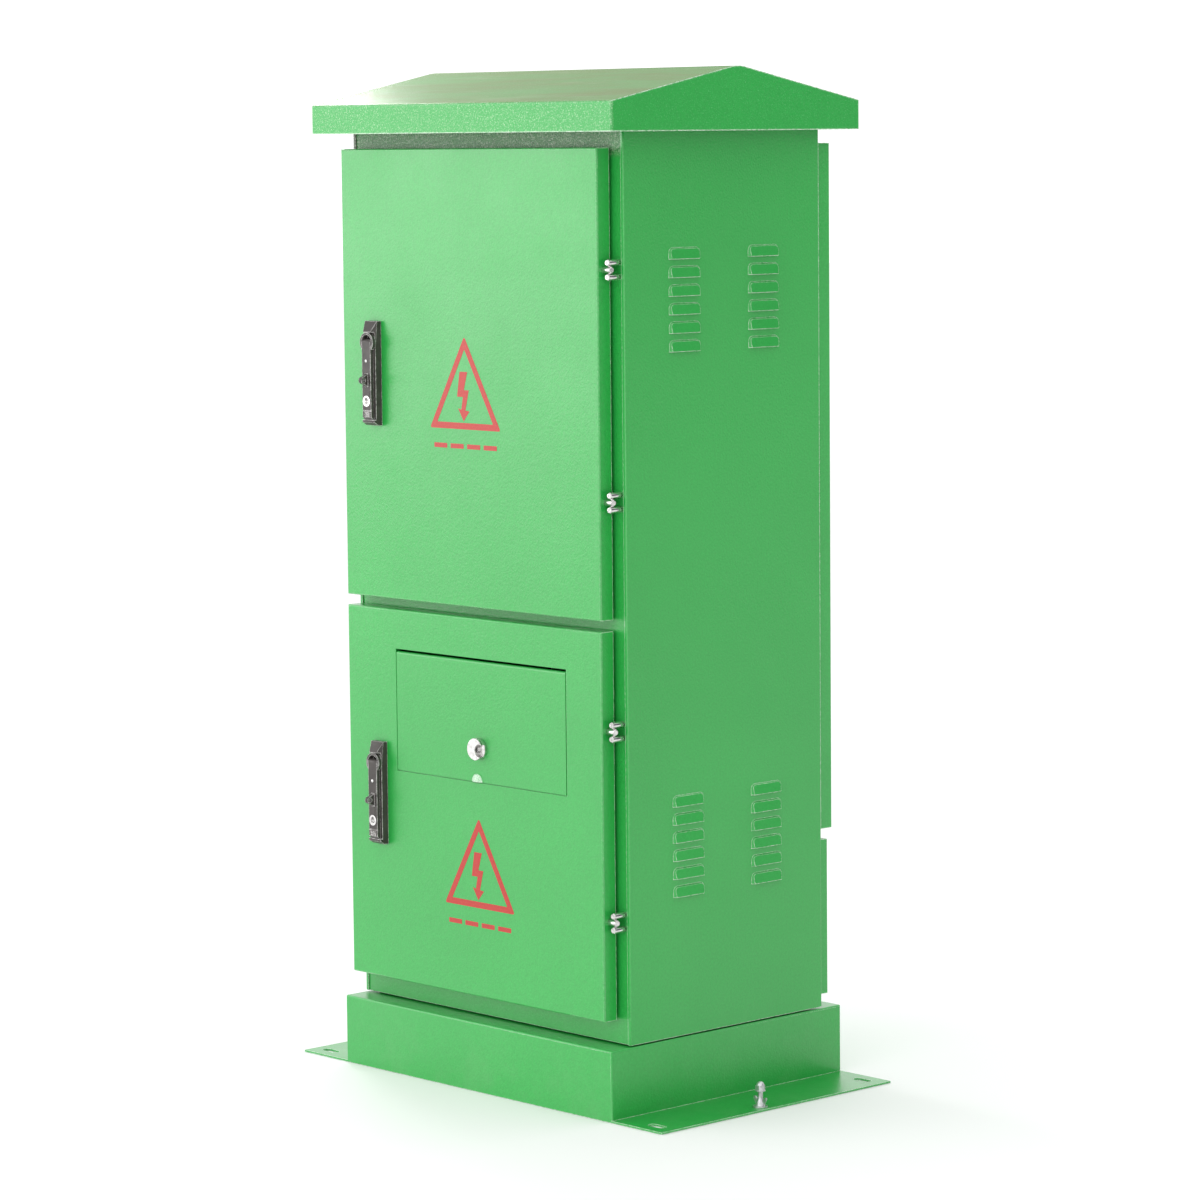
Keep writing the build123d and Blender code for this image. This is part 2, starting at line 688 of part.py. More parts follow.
def key_plug(top):
    """The key plug in the lever: a barrel under a flat round face, with a slot for the key."""
    key_z = top - key_drop
    side_bar(FRONT, key_radius, (handle_x, lever_back + 0.4, key_z), (handle_x, lever_front + 0.1, key_z))
    side_bar(FRONT, key_face_radius, (handle_x, lever_front + 0.1, key_z), (handle_x, lever_front + 0.8, key_z))
    slot_limits = (lever_front - 2, lever_front + 0.8)
    side_block(FRONT, (handle_x - 0.9, handle_x + 0.9), slot_limits, (key_z - 3.6, key_z + 1), Mode.SUBTRACT)
    side_bar(FRONT, 2, (handle_x, slot_limits[0], key_z + 2), (handle_x, slot_limits[1], key_z + 2), Mode.SUBTRACT)


def lock_rod(door, top, sign):
    """A flat lock rod with a cross slot on a crank pin. Sign 1 runs up, on the latch side; -1 runs down."""
    pivot = top - pivot_drop
    throw = crank_radius * math.sqrt(0.5)
    pin_z = pivot + sign * throw
    low, high = opening_of(door)
    tip = high - rod_end_gap if sign > 0 else low + rod_end_gap
    middle = handle_x - sign * rod_offset
    depth_limits = (rod_near, rod_far)
    bar_x = (middle - rod_width / 2, middle + rod_width / 2)
    side_block(FRONT, bar_x, depth_limits, (pin_z, tip))
    plate_x = (handle_x - sign * 3.2, handle_x - sign * 19)
    side_block(FRONT, plate_x, depth_limits, (pin_z - 9, pin_z + 9))
    slot = (handle_x - sign * 5.6, handle_x - sign * 16.8)
    slot_half = crank_pin_radius + 0.6
    side_block(FRONT, slot, depth_limits, (pin_z - slot_half, pin_z + slot_half), Mode.SUBTRACT)


for prefix, door, top in (
    ("upper", upper_door, upper_handle_top),
    ("lower", lower_door, lower_handle_top),
):
    with BuildPart() as nut:
        handle_nut(top)
    with BuildPart() as housing:
        handle_housing(top)
        add(nut.part)
    save(housing, f"{prefix}_handle_housing")
    with BuildPart() as spindle:
        handle_spindle(top)
    save(spindle, f"{prefix}_handle_spindle")
    with BuildPart() as lever:
        handle_lever(top)
    save(lever, f"{prefix}_handle_lever")
    with BuildPart() as plug:
        key_plug(top)
    save(plug, f"{prefix}_key_plug")
    for rod_name, sign in (("top_rod", 1), ("bottom_rod", -1)):
        with BuildPart() as rod:
            lock_rod(door, top, sign)
        save(rod, f"{prefix}_door_{rod_name}")

# ---------------------------------------------------------------- rear door latch

with BuildPart() as rear_latch_housing:
    side_bar(REAR, 17, (latch_x, door_face, latch_z), (latch_x, 234, latch_z), end_radius=15)
    side_bar(REAR, sleeve_radius, (latch_x, sleeve_back, latch_z), (latch_x, door_face, latch_z))
    bore = 7 + running_fit
    side_bar(REAR, bore, (latch_x, sleeve_back, latch_z), (latch_x, 234, latch_z), Mode.SUBTRACT)
save(rear_latch_housing, "rear_latch_housing")

with BuildPart() as rear_latch_cam:
    side_bar(REAR, 7, (latch_x, 189, latch_z), (latch_x, 236, latch_z))
    hex_socket = (latch_x - 2.5, latch_x + 2.5)
    side_block(REAR, hex_socket, (230, 236), (latch_z - 2.5, latch_z + 2.5), Mode.SUBTRACT)
    side_block(REAR, (latch_x - 8, latch_x + 8), (189, 192), (latch_z - 44, latch_z + 8))
save(rear_latch_cam, "rear_latch_cam")

# ---------------------------------------------------------------- inspection flap

flap_skin_back = door_face - 1.7
pull_radius = 22.5
pull_rise = 4.5
pull_wall = 1.5
pull_centre = (2.2, pull_radius - pull_rise - door_face, flap_z[0])

with BuildPart() as flap_frame:
    side_block(FRONT, (-191, 208), (224, door_face - sheet), (459, 664))
    side_block(FRONT, (-172, 189), (224, door_face - sheet), (480, 636), Mode.SUBTRACT)
    side_block(FRONT, hatch_x, (224, door_face - sheet), (642, 657), Mode.SUBTRACT)
    for lug_x in ((-187.5, -182.9), (199.9, 204.5)):
        side_block(FRONT, lug_x, (220.5, door_face - sheet), (643, 653))
    ends = ((-190, flap_axis_depth, flap_axis_z), (207, flap_axis_depth, flap_axis_z))
    side_bar(FRONT, flap_pin_radius + 0.02, ends[0], ends[1], Mode.SUBTRACT)
save(flap_frame, "flap_frame")

with BuildPart() as flap_hinge_pin:
    ends = ((-187, flap_axis_depth, flap_axis_z), (204, flap_axis_depth, flap_axis_z))
    side_bar(FRONT, flap_pin_radius, ends[0], ends[1])
save(flap_hinge_pin, "flap_hinge_pin")

with BuildPart() as pull_dome:
    with Locations(pull_centre):
        Sphere(pull_radius)
    split(bisect_by=Plane(origin=(0, -door_face, 0), z_dir=(0, -1, 0)), keep=Keep.TOP)
    split(bisect_by=Plane.XY.offset(flap_z[0]), keep=Keep.TOP)

with BuildPart() as inspection_flap:
    side_block(FRONT, flap_x, (flap_skin_back, door_face), (flap_z[0], flap_axis_z))
    ends = ((flap_x[0], flap_axis_depth, flap_axis_z), (flap_x[1], flap_axis_depth, flap_axis_z))
    side_bar(FRONT, flap_roll_radius, ends[0], ends[1])
    side_bar(FRONT, flap_pin_radius + running_fit, ends[0], ends[1], Mode.SUBTRACT)
    centre = (flap_lock_x, flap_skin_back, flap_lock_z)
    side_bar(FRONT, 9.1, centre, (flap_lock_x, door_face, flap_lock_z), Mode.SUBTRACT)
    add(pull_dome.part)
    with Locations(pull_centre):
        Sphere(pull_radius - pull_wall, mode=Mode.SUBTRACT)
save(inspection_flap, "inspection_flap")

lock_body_front = 236.9
lock_cover_back = 237.7
lock_cover_edge = 239.8
lock_front = 240.4
lock_radius = 16.5
lock_barrel_radius = 6
barrel_front_end = 237.3

with BuildPart() as flap_lock_housing:
    for radius, near, far, end in (
        (lock_radius, door_face, lock_body_front, lock_radius),
        (15.2, lock_body_front, lock_cover_back, 15.2),
        (lock_radius, lock_cover_back, lock_cover_edge, lock_radius),
        (lock_radius, lock_cover_edge, lock_front, 15.7),
    ):
        end_radius = None if end == radius else end
        start = (flap_lock_x, near, flap_lock_z)
        side_bar(FRONT, radius, start, (flap_lock_x, far, flap_lock_z), end_radius=end_radius)
    side_bar(FRONT, 9, (flap_lock_x, 225, flap_lock_z), (flap_lock_x, door_face, flap_lock_z))
    bore = lock_barrel_radius + running_fit
    bore_end = (flap_lock_x, lock_cover_back, flap_lock_z)
    side_bar(FRONT, bore, (flap_lock_x, 225, flap_lock_z), bore_end, Mode.SUBTRACT)
    window_x = flap_lock_x + 11
    window_z = flap_lock_z - 1.5
    side_bar(FRONT, 9.5, (window_x, 233.5, window_z), (window_x, lock_front, window_z), Mode.SUBTRACT)
save(flap_lock_housing, "flap_lock_housing")

with BuildPart() as flap_lock_cam:
    start = (flap_lock_x, 218.5, flap_lock_z)
    side_bar(FRONT, lock_barrel_radius, start, (flap_lock_x, barrel_front_end, flap_lock_z))
    key_slot_x = (flap_lock_x + 2.5, flap_lock_x + 5)
    key_slot_depth = (barrel_front_end - 3, barrel_front_end)
    side_block(FRONT, key_slot_x, key_slot_depth, (flap_lock_z - 3, flap_lock_z + 3), Mode.SUBTRACT)
    side_block(FRONT, (flap_lock_x - 7, flap_lock_x + 50), (218.5, 221.5), (flap_lock_z - 7, flap_lock_z + 7))
save(flap_lock_cam, "flap_lock_cam")

# ---------------------------------------------------------------- switchgear

plate_back = plate_front + plate_thickness
main_size = (140, 85, 230)
main_bottom = 1100
main_front = plate_front - main_size[1]
branch_size = (78, 68, 130)
branch_bottom = 850
branch_top = branch_bottom + branch_size[2]
branch_front = plate_front - branch_size[1]
riser_x = (-40, 0, 40)
riser_top = 1165

with BuildPart() as mounting_plate:
    block((-290, 290), (plate_front, plate_back), (760, 1380))
    for x in riser_x:
        bar(9, (x, plate_front, riser_top), (x, plate_back, riser_top), Mode.SUBTRACT)
save(mounting_plate, "mounting_plate")


def breaker(x, bottom, size, toggle_half):
    """A moulded breaker: a body with a raised middle and a slot for its toggle."""
    front = plate_front - size[1]
    top = bottom + size[2]
    middle = bottom + size[2] / 2
    raised_half = size[2] / 3.4
    block((x - size[0] / 2, x + size[0] / 2), (front + 14, plate_front), (bottom, top))
    block((x - size[0] / 2, x + size[0] / 2), (front, front + 14), (middle - raised_half, middle + raised_half))
    slot_x_limits = (x - toggle_half - 1, x + toggle_half + 1)
    block(slot_x_limits, (front, front + 28), (middle - 24, middle + 24), Mode.SUBTRACT)
    pin_ends = ((x - toggle_half - 5.2, front + 13, middle), (x + toggle_half + 5.2, front + 13, middle))
    bar(2.05, pin_ends[0], pin_ends[1], Mode.SUBTRACT)


def toggle(x, middle, front, half):
    """A breaker's toggle: a drum on a pin, with a flat arm that stands out of the slot."""
    bar(8, (x - half, front + 13, middle), (x + half, front + 13, middle))
    bar(2, (x - half - 5, front + 13, middle), (x + half + 5, front + 13, middle))
    block((x - half + 2, x + half - 2), (front - 22, front + 13), (middle - 3.5, middle + 3.5))


with BuildPart() as main_breaker:
    breaker(0, main_bottom, main_size, 12)
save(main_breaker, "main_breaker")

with BuildPart() as main_toggle:
    toggle(0, main_bottom + main_size[2] / 2, main_front, 12)
save(main_toggle, "main_toggle")

with BuildPart() as branch_breakers:
    for x in branch_x:
        breaker(x, branch_bottom, branch_size, 9)
save(branch_breakers, "branch_breakers")

for number, x in enumerate(branch_x, start=1):
    with BuildPart() as branch_toggle:
        toggle(x, branch_bottom + branch_size[2] / 2, branch_front, 9)
    save(branch_toggle, f"branch_toggle_{number}")

bus_z = (1010, 1030)
bus_length = 185
bus_depths = (20, 5, -10)

with BuildPart() as busbars:
    for phase, (x, depth) in enumerate(zip(phase_x, bus_depths)):
        thickness = (depth, depth + 4)
        block((-bus_length, bus_length), thickness, bus_z)
        block((x - 9, x + 9), thickness, (bus_z[1], main_bottom))
        for breaker_x in branch_x:
            drop = breaker_x + (phase - 1) * 24
            block((drop - 7, drop + 7), thickness, (branch_top, bus_z[0]))
save(busbars, "busbars")

with BuildPart() as insulators:
    for x in (-175, 175):
        block((x - 8, x + 8), (-16, plate_front), (bus_z[0] - 8, bus_z[1] + 8))
        for depth in bus_depths:
            block((x - 8, x + 8), (depth, depth + 4), bus_z, Mode.SUBTRACT)
    for x in (-170, 170):
        for z in (790, 820):
            bar(10, (x, 34, z), (x, plate_front, z))
    for x in riser_x:
        bar(11, (x, plate_back, 1000), (x, 66, 1000))
save(insulators, "insulators")

with BuildPart() as neutral_and_earth_bars:
    for z in (790, 820):
        block((-200, 200), (28, 34), (z - 8, z + 8))
        for step in range(9):
            x = -160 + 40 * step
            bar(4.5, (x, 23, z), (x, 28, z))
save(neutral_and_earth_bars, "neutral_and_earth_bars")

terminal_top = core_z[1] + 30

with BuildPart() as riser_bars:
    for x in riser_x:
        block((x - 10, x + 10), (66, 72), (terminal_top, 1180))
        block((x - 10, x + 10), (-8, 66), (terminal_top, terminal_top + 6))
        bar(6, (x, plate_front, riser_top), (x, 66, riser_top))
save(riser_bars, "riser_bars")

# ---------------------------------------------------------------- transformer

with BuildPart() as transformer_core:
    block((-core_half_width, core_half_width), (-28, 28), core_z)
    for sign in (-1, 1):
        window = (sign * leg_width / 2, sign * (leg_pitch - leg_width / 2))
        block(window, (-28, 28), (core_z[0] + leg_width, core_z[1] - leg_width), Mode.SUBTRACT)
save(transformer_core, "transformer_core")

coil_z = (core_z[0] + 56, core_z[1] - 56)

with BuildPart() as transformer_coils:
    for x in (-leg_pitch, 0, leg_pitch):
        with BuildSketch(Plane(origin=(x, 0, coil_z[0]))):
            RectangleRounded(112, 150, 40)
            Rectangle(leg_width + 2, 58, mode=Mode.SUBTRACT)
        extrude(amount=coil_z[1] - coil_z[0])
save(transformer_coils, "transformer_coils")

with BuildPart() as transformer_clamps:
    for sign in (-1, 1):
        clamp = (sign * 28, sign * 40)
        block((-165, 165), clamp, (core_z[0] + 5, core_z[0] + 45))
        block((-165, 165), clamp, (core_z[1] - 45, core_z[1] - 5))
        for x in (-140, 140):
            block((x - 20, x + 20), (sign * 28, sign * 32), (body_bottom + sheet, core_z[0] + 5))
            block((x - 20, x + 20), (sign * 28, sign * 90), (body_bottom + sheet, body_bottom + 6))
            bar(5, (x, sign * 65, body_bottom + 6), (x, sign * 65, body_bottom + 14))
save(transformer_clamps, "transformer_clamps")

with BuildPart() as terminal_block:
    block((-95, 95), (-22, 22), (core_z[1], terminal_top))
    for x in (-80, -60, -20, 20, 60, 80):
        block((x - 1.5, x + 1.5), (-22, 22), (terminal_top, terminal_top + 8))
save(terminal_block, "terminal_block")
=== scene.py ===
import bmesh
import bpy
import json
import math
from mathutils import Matrix, Vector


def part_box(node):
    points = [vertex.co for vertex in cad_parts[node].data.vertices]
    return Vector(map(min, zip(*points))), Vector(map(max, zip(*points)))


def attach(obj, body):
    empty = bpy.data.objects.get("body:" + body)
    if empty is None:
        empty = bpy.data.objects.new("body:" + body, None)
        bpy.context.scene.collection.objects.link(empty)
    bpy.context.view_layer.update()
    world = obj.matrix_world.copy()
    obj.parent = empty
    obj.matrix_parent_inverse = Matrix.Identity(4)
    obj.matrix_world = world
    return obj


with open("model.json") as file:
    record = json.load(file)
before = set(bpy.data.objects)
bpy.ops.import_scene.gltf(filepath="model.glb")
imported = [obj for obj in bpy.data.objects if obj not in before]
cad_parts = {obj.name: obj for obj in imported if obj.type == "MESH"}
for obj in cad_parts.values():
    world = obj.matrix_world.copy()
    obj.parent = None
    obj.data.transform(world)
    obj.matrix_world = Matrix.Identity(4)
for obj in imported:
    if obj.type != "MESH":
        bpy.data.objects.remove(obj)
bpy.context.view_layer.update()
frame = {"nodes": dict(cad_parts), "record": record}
nodes = frame["nodes"]

MM = 0.001
# How far a rounded normal agrees with the flat one: at an edge, and clear of it.
EDGE_TURN = (0.94, 0.997)

# ---------------------------------------------------------------- material helpers


class Surface:
    """A material's node tree, with short calls for the nodes that the finishes here are made of."""

    def __init__(self, name, roughness=0.5, metallic=0.0, coat=0.0, coat_roughness=0.1, specular=0.5):
        self.material = bpy.data.materials.new(name)
        self.material.use_nodes = True
        self.tree = self.material.node_tree
        self.shader = self.tree.nodes["Principled BSDF"]
        self.place = self.tree.nodes.new("ShaderNodeTexCoord").outputs["Object"]
        self.normal = None
        self.shader.inputs["Roughness"].default_value = roughness
        self.shader.inputs["Metallic"].default_value = metallic
        self.shader.inputs["Coat Weight"].default_value = coat
        self.shader.inputs["Coat Roughness"].default_value = coat_roughness
        self.shader.inputs["Specular IOR Level"].default_value = specular

    def node(self, kind, **settings):
        made = self.tree.nodes.new(kind)
        for key, value in settings.items():
            setattr(made, key, value)
        return made

    def link(self, source, target):
        self.tree.links.new(source, target)

    def stretched(self, scale):
        """The object's own coordinates, scaled on each axis."""
        mapping = self.node("ShaderNodeMapping")
        mapping.inputs["Scale"].default_value = scale
        self.link(self.place, mapping.inputs["Vector"])
        return mapping.outputs["Vector"]

    def noise(self, scale, detail=2.0, roughness=0.5, place=None):
        made = self.node("ShaderNodeTexNoise")
        made.inputs["Scale"].default_value = scale
        made.inputs["Detail"].default_value = detail
        made.inputs["Roughness"].default_value = roughness
        self.link(place or self.place, made.inputs["Vector"])
        return made.outputs["Fac"]

    def cells(self, scale, output="Distance"):
        made = self.node("ShaderNodeTexVoronoi")
        made.inputs["Scale"].default_value = scale
        self.link(self.place, made.inputs["Vector"])
        return made.outputs[output]

    def axis(self, letter):
        split = self.node("ShaderNodeSeparateXYZ")
        self.link(self.place, split.inputs[0])
        return split.outputs[letter]

    def spread(self, value, low, high, to_low=0.0, to_high=1.0):
        """A value between low and high, mapped to another range and held there."""
        made = self.node("ShaderNodeMapRange")
        limits = {"From Min": low, "From Max": high, "To Min": to_low, "To Max": to_high}
        for name, limit in limits.items():
            made.inputs[name].default_value = limit
        self.link(value, made.inputs["Value"])
        return made.outputs["Result"]

    def both(self, first, second, operation="MULTIPLY"):
        made = self.node("ShaderNodeMath", operation=operation)
        for socket, value in zip(made.inputs, (first, second)):
            if isinstance(value, float):
                socket.default_value = value
            else:
                self.link(value, socket)
        return made.outputs[0]

    def blend(self, factor, first, second):
        """One colour or another. Each is a colour or the output of another node."""
        made = self.node("ShaderNodeMix", data_type="RGBA")
        self.link(factor, made.inputs["Factor"])
        for socket, value in ((made.inputs[6], first), (made.inputs[7], second)):
            if isinstance(value, tuple):
                socket.default_value = (*value, 1.0)
            else:
                self.link(value, socket)
        return made.outputs[2]

    def relief(self, height, distance):
        """Bump on top of the bump that is there already."""
        made = self.node("ShaderNodeBump")
        made.inputs["Distance"].default_value = distance
        self.link(height, made.inputs["Height"])
        if self.normal:
            self.link(self.normal, made.inputs["Normal"])
        self.normal = made.outputs["Normal"]
        self.link(self.normal, self.shader.inputs["Normal"])
        self.link(self.normal, self.shader.inputs["Coat Normal"])

    def painted_edge_mask(self, radius, amount):
        """How close a point is to an edge, up to an amount, broken by small gaps: the mask for painted edge
        highlights and painted dark edge reflections.
        """
        rounded = self.node("ShaderNodeBevel", samples=6)
        rounded.inputs["Radius"].default_value = radius
        turn = self.node("ShaderNodeVectorMath", operation="DOT_PRODUCT")
        self.link(rounded.outputs["Normal"], turn.inputs[0])
        self.link(self.node("ShaderNodeNewGeometry").outputs["Normal"], turn.inputs[1])
        near = self.spread(turn.outputs["Value"], *EDGE_TURN, 1.0, 0.0)
        gaps = self.spread(self.noise(180.0, 3.0, 0.7), 0.38, 0.56, 0.25, amount)
        return self.both(near, gaps)

    def colour(self, output):
        self.link(output, self.shader.inputs["Base Color"])

    def rough(self, output):
        self.link(output, self.shader.inputs["Roughness"])


def shade(colour, factor):
    return tuple(channel * factor for channel in colour)


# ---------------------------------------------------------------- finishes

GREEN = (0.017, 0.385, 0.056)
PALE_GREEN = (0.10, 0.50, 0.16)
# A near-white green for painted highlights along the paint's edges.
EDGE_HIGHLIGHT_GREEN = (0.86, 0.95, 0.84)
LOW_DUST = (0.36, 0.40, 0.30)
LOW_DUST_TOP = 0.16
ROOF_UP_OLIVE = (0.090, 0.160, 0.006)
ROOF_PALE = (0.40, 0.42, 0.28)
ROOF_DUST = (0.60, 0.60, 0.48)
FASCIA_PAINTED_GLINT = (0.62, 0.80, 0.56)
# Limits along one axis, in metres, that pick out one face of a piece.
FASCIA_FACE = (-0.250, -0.248)
STRIP_FACE = (-0.1985, -0.1975)
STRIP_FOOT = (1.396, 1.408)
PULL_FACE = (-0.2305, -0.2298)
DOOR_EDGES = 0.0022


def powder_coat(name, peel=1.0, specks=0.22, coat=0.65, dust=0.07, specular=0.5, edges=0.0012, flap_x=0.0):
    """Semi-gloss powder coat: an orange-peel skin, fine pale specks, slow changes of tone and pale painted
    highlights along the edges.

    flap_x keeps the painted edge highlights off everything nearer the middle than that, where the flap's
    opening is.
    """
    paint = Surface(name, coat=coat, coat_roughness=0.25, specular=specular)
    tone = paint.spread(paint.noise(2.6, 3.0), 0.35, 0.65)
    base = paint.blend(tone, shade(GREEN, 0.95), shade(GREEN, 1.05))
    mottle = paint.spread(paint.noise(260.0, 3.0, 0.65), 0.36, 0.64)
    base = paint.blend(mottle, paint.blend(tone, shade(GREEN, 0.86), shade(GREEN, 0.92)), base)
    speck = paint.spread(paint.noise(520.0, 2.0, 0.6), 0.58, 0.74, 0.0, specks)
    base = paint.blend(speck, base, PALE_GREEN)
    if dust:
        low = paint.spread(paint.axis("Z"), 0.0, LOW_DUST_TOP, dust, 0.0)
        patch = paint.spread(paint.noise(14.0, 4.0, 0.65), 0.45, 0.70)
        base = paint.blend(paint.both(low, patch), base, LOW_DUST)
    # Pale edges: painted highlights along every sharp edge.
    if edges:
        edge_highlight = paint.painted_edge_mask(edges, 0.9)
        if flap_x:
            beside = paint.spread(paint.both(paint.axis("X"), 0.0, "ABSOLUTE"), flap_x, flap_x + 0.001)
            edge_highlight = paint.both(edge_highlight, beside)
        base = paint.blend(edge_highlight, base, EDGE_HIGHLIGHT_GREEN)
    paint.colour(base)
    paint.rough(paint.spread(paint.noise(9.0, 3.0, 0.6), 0.35, 0.70, 0.33, 0.43))
    paint.relief(paint.noise(300.0, 2.0, 0.5), 0.00030 * peel)
    paint.relief(paint.noise(900.0, 2.0), 0.00012 * peel)
    return paint


def base_of(surface):
    """The node output that a surface's colour comes from."""
    return surface.shader.inputs["Base Color"].links[0].from_socket


def strip_coat(name):
    """The same green, with a coarse grain, and on the strip under the roof a pale speckle of painted
    reflection with dark flecks of painted shade.
    """
    paint = powder_coat(name, peel=1.2, specks=0.3)
    grain = paint.spread(paint.noise(400.0, 3.0, 0.85), 0.475, 0.555)
    front = paint.spread(paint.axis("Y"), *STRIP_FACE, 1.0, 0.0)
    under_roof = paint.both(paint.spread(paint.axis("Z"), *STRIP_FOOT), front)
    patch = paint.spread(paint.noise(30.0, 3.0), 0.3, 0.7)
    # On the strip's face under the roof: a pale grey speckle is painted reflection and dark green flecks are
    # painted shade, laid over the coarse grain.
    light = paint.blend(patch, (0.52, 0.52, 0.44), (0.74, 0.68, 0.62))
    painted_reflection_and_shade = paint.blend(grain, (0.012, 0.040, 0.014), light)
    paint.colour(paint.blend(paint.both(under_roof, 0.92), base_of(paint), painted_reflection_and_shade))
    paint.relief(paint.both(grain, under_roof), 0.00035)
    return paint


def roof_coat():
    """Green, olive and paler on the faces that look up, with fine dust there, and pale specks on the front
    fascia that are painted glints.
    """
    paint = powder_coat("roof_powder_coat", specks=0.8, dust=0, coat=0.35, specular=0.4, edges=0.003)
    split = paint.node("ShaderNodeSeparateXYZ")
    paint.link(paint.node("ShaderNodeNewGeometry").outputs["Normal"], split.inputs[0])
    up = paint.spread(split.outputs["Z"], 0.5, 0.9)
    streak = paint.noise(3.0, 6.0, 0.62, paint.stretched((1.0, 7.0, 1.0)))
    paint.rough(paint.spread(up, 0.0, 1.0, 0.38, 0.85))
    # The faces that look up turn olive in streaks.
    olive_top = paint.both(up, paint.spread(streak, 0.36, 0.66, 0.6, 0.95))
    base = paint.blend(olive_top, base_of(paint), ROOF_UP_OLIVE)
    pale = paint.spread(paint.noise(7.0, 4.0, 0.6, paint.stretched((1.0, 5.0, 1.0))), 0.52, 0.74, 0.0, 0.12)
    base = paint.blend(paint.both(up, pale), base, ROOF_PALE)
    dust = paint.both(up, paint.spread(paint.noise(700.0, 2.0), 0.62, 0.74, 0.0, 0.25))
    base = paint.blend(dust, base, ROOF_DUST)
    # Pale specks on the fascia face only: painted glints, that is painted highlights.
    painted_glints = paint.spread(paint.noise(460.0, 3.0, 0.85), 0.55, 0.63, 0.0, 0.55)
    fascia = paint.spread(paint.axis("Y"), *FASCIA_FACE, 1.0, 0.0)
    base = paint.blend(paint.both(painted_glints, fascia), base, FASCIA_PAINTED_GLINT)
    paint.colour(base)
    return paint


def flap_coat():
    """Door paint, pale on the pull that stands proud of the flap: a painted highlight on the lit pull."""
    paint = powder_coat("flap_powder_coat", edges=0)
    # The proud part of the pull is painted pale as a highlight.
    pull_highlight_mask = paint.spread(paint.axis("Y"), *PULL_FACE, 1.0, 0.0)
    grain = paint.spread(paint.noise(800.0, 2.0, 0.7), 0.40, 0.62)
    pale = paint.blend(grain, (0.16, 0.48, 0.22), (0.70, 0.82, 0.68))
    paint.colour(paint.blend(pull_highlight_mask, base_of(paint), pale))
    return paint


def black_plastic():
    """Satin black casting with a fine grain, rubbed patches and pale painted highlights along its edges."""
    colour = (0.052, 0.046, 0.043)
    skin = Surface("satin_black", coat=0.05, coat_roughness=0.25, specular=0.3)
    rub = skin.spread(skin.noise(60.0, 4.0, 0.6), 0.42, 0.72, 0.0, 0.5)
    skin_tone = skin.blend(rub, colour, shade(colour, 1.9))
    # Near-white edges: painted highlights.
    skin.colour(skin.blend(skin.painted_edge_mask(0.0014, 0.95), skin_tone, (0.86, 0.84, 0.82)))
    skin.rough(skin.spread(skin.noise(140.0, 3.0), 0.3, 0.7, 0.30, 0.44))
    skin.relief(skin.noise(2600.0, 1.0), 0.00003)
    return skin


def chrome():
    """Chrome over a die casting: soft waves, smudges, and a painted dark reflection along the edges."""
    metal = Surface("chrome", metallic=1.0)
    smudge = metal.spread(metal.noise(160.0, 4.0, 0.6), 0.45, 0.75)
    tone = metal.blend(smudge, (0.74, 0.73, 0.72), (0.46, 0.45, 0.44))
    # Near-black edges: a painted dark reflection.
    metal.colour(metal.blend(metal.painted_edge_mask(0.0012, 0.9), tone, (0.055, 0.052, 0.050)))
    metal.rough(metal.spread(metal.noise(240.0, 3.0), 0.3, 0.7, 0.07, 0.20))
    metal.relief(metal.noise(420.0, 2.0), 0.00005)
    return metal


def zinc():
    """Zinc-plated sheet with its spangle."""
    colour = (0.60, 0.61, 0.62)
    metal = Surface("zinc_sheet", metallic=1.0)
    split = metal.node("ShaderNodeSeparateColor")
    metal.link(metal.cells(85.0, "Color"), split.inputs[0])
    flake = split.outputs[0]
    metal.colour(metal.blend(metal.spread(flake, 0.0, 1.0), shade(colour, 0.82), shade(colour, 1.12)))
    metal.rough(metal.spread(split.outputs[1], 0.0, 1.0, 0.30, 0.46))
    metal.relief(metal.noise(500.0, 2.0), 0.00004)
    return metal


def bare_metal(name, colour, tarnish):
    """Drawn bar: streaks along its length and patches of tarnish."""
    metal = Surface(name, metallic=1.0)
    streaks = metal.noise(300.0, 3.0, 0.6, metal.stretched((0.08, 1.0, 1.0)))
    patch = metal.spread(metal.noise(26.0, 5.0, 0.65), 0.45, 0.72, 0.0, 0.7)
    metal.colour(metal.blend(patch, colour, tarnish))
    metal.rough(metal.spread(streaks, 0.3, 0.7, 0.20, 0.38))
    metal.relief(streaks, 0.00003)
    return metal


def moulded(name, colour, grain=1500.0, roughness=(0.38, 0.52), coat=0.0):
    """A moulded plastic or resin with a light grain and a little change of tone."""
    plastic = Surface(name, coat=coat, coat_roughness=0.15)
    tone = plastic.spread(plastic.noise(30.0, 4.0, 0.6), 0.35, 0.70)
    plastic.colour(plastic.blend(tone, shade(colour, 0.88), shade(colour, 1.10)))
    plastic.rough(plastic.spread(plastic.noise(90.0, 3.0), 0.3, 0.7, *roughness))
    plastic.relief(plastic.noise(grain, 2.0), 0.00004)
    return plastic


def foam():
    """Closed-cell foam with its open surface cells."""
    rubber = Surface("foam_strip", roughness=0.92, specular=0.2)
    pores = rubber.cells(900.0)
    rubber.colour(rubber.blend(rubber.spread(pores, 0.1, 0.7), (0.012, 0.012, 0.013), (0.045, 0.045, 0.048)))
    rubber.relief(pores, 0.00025)
    return rubber


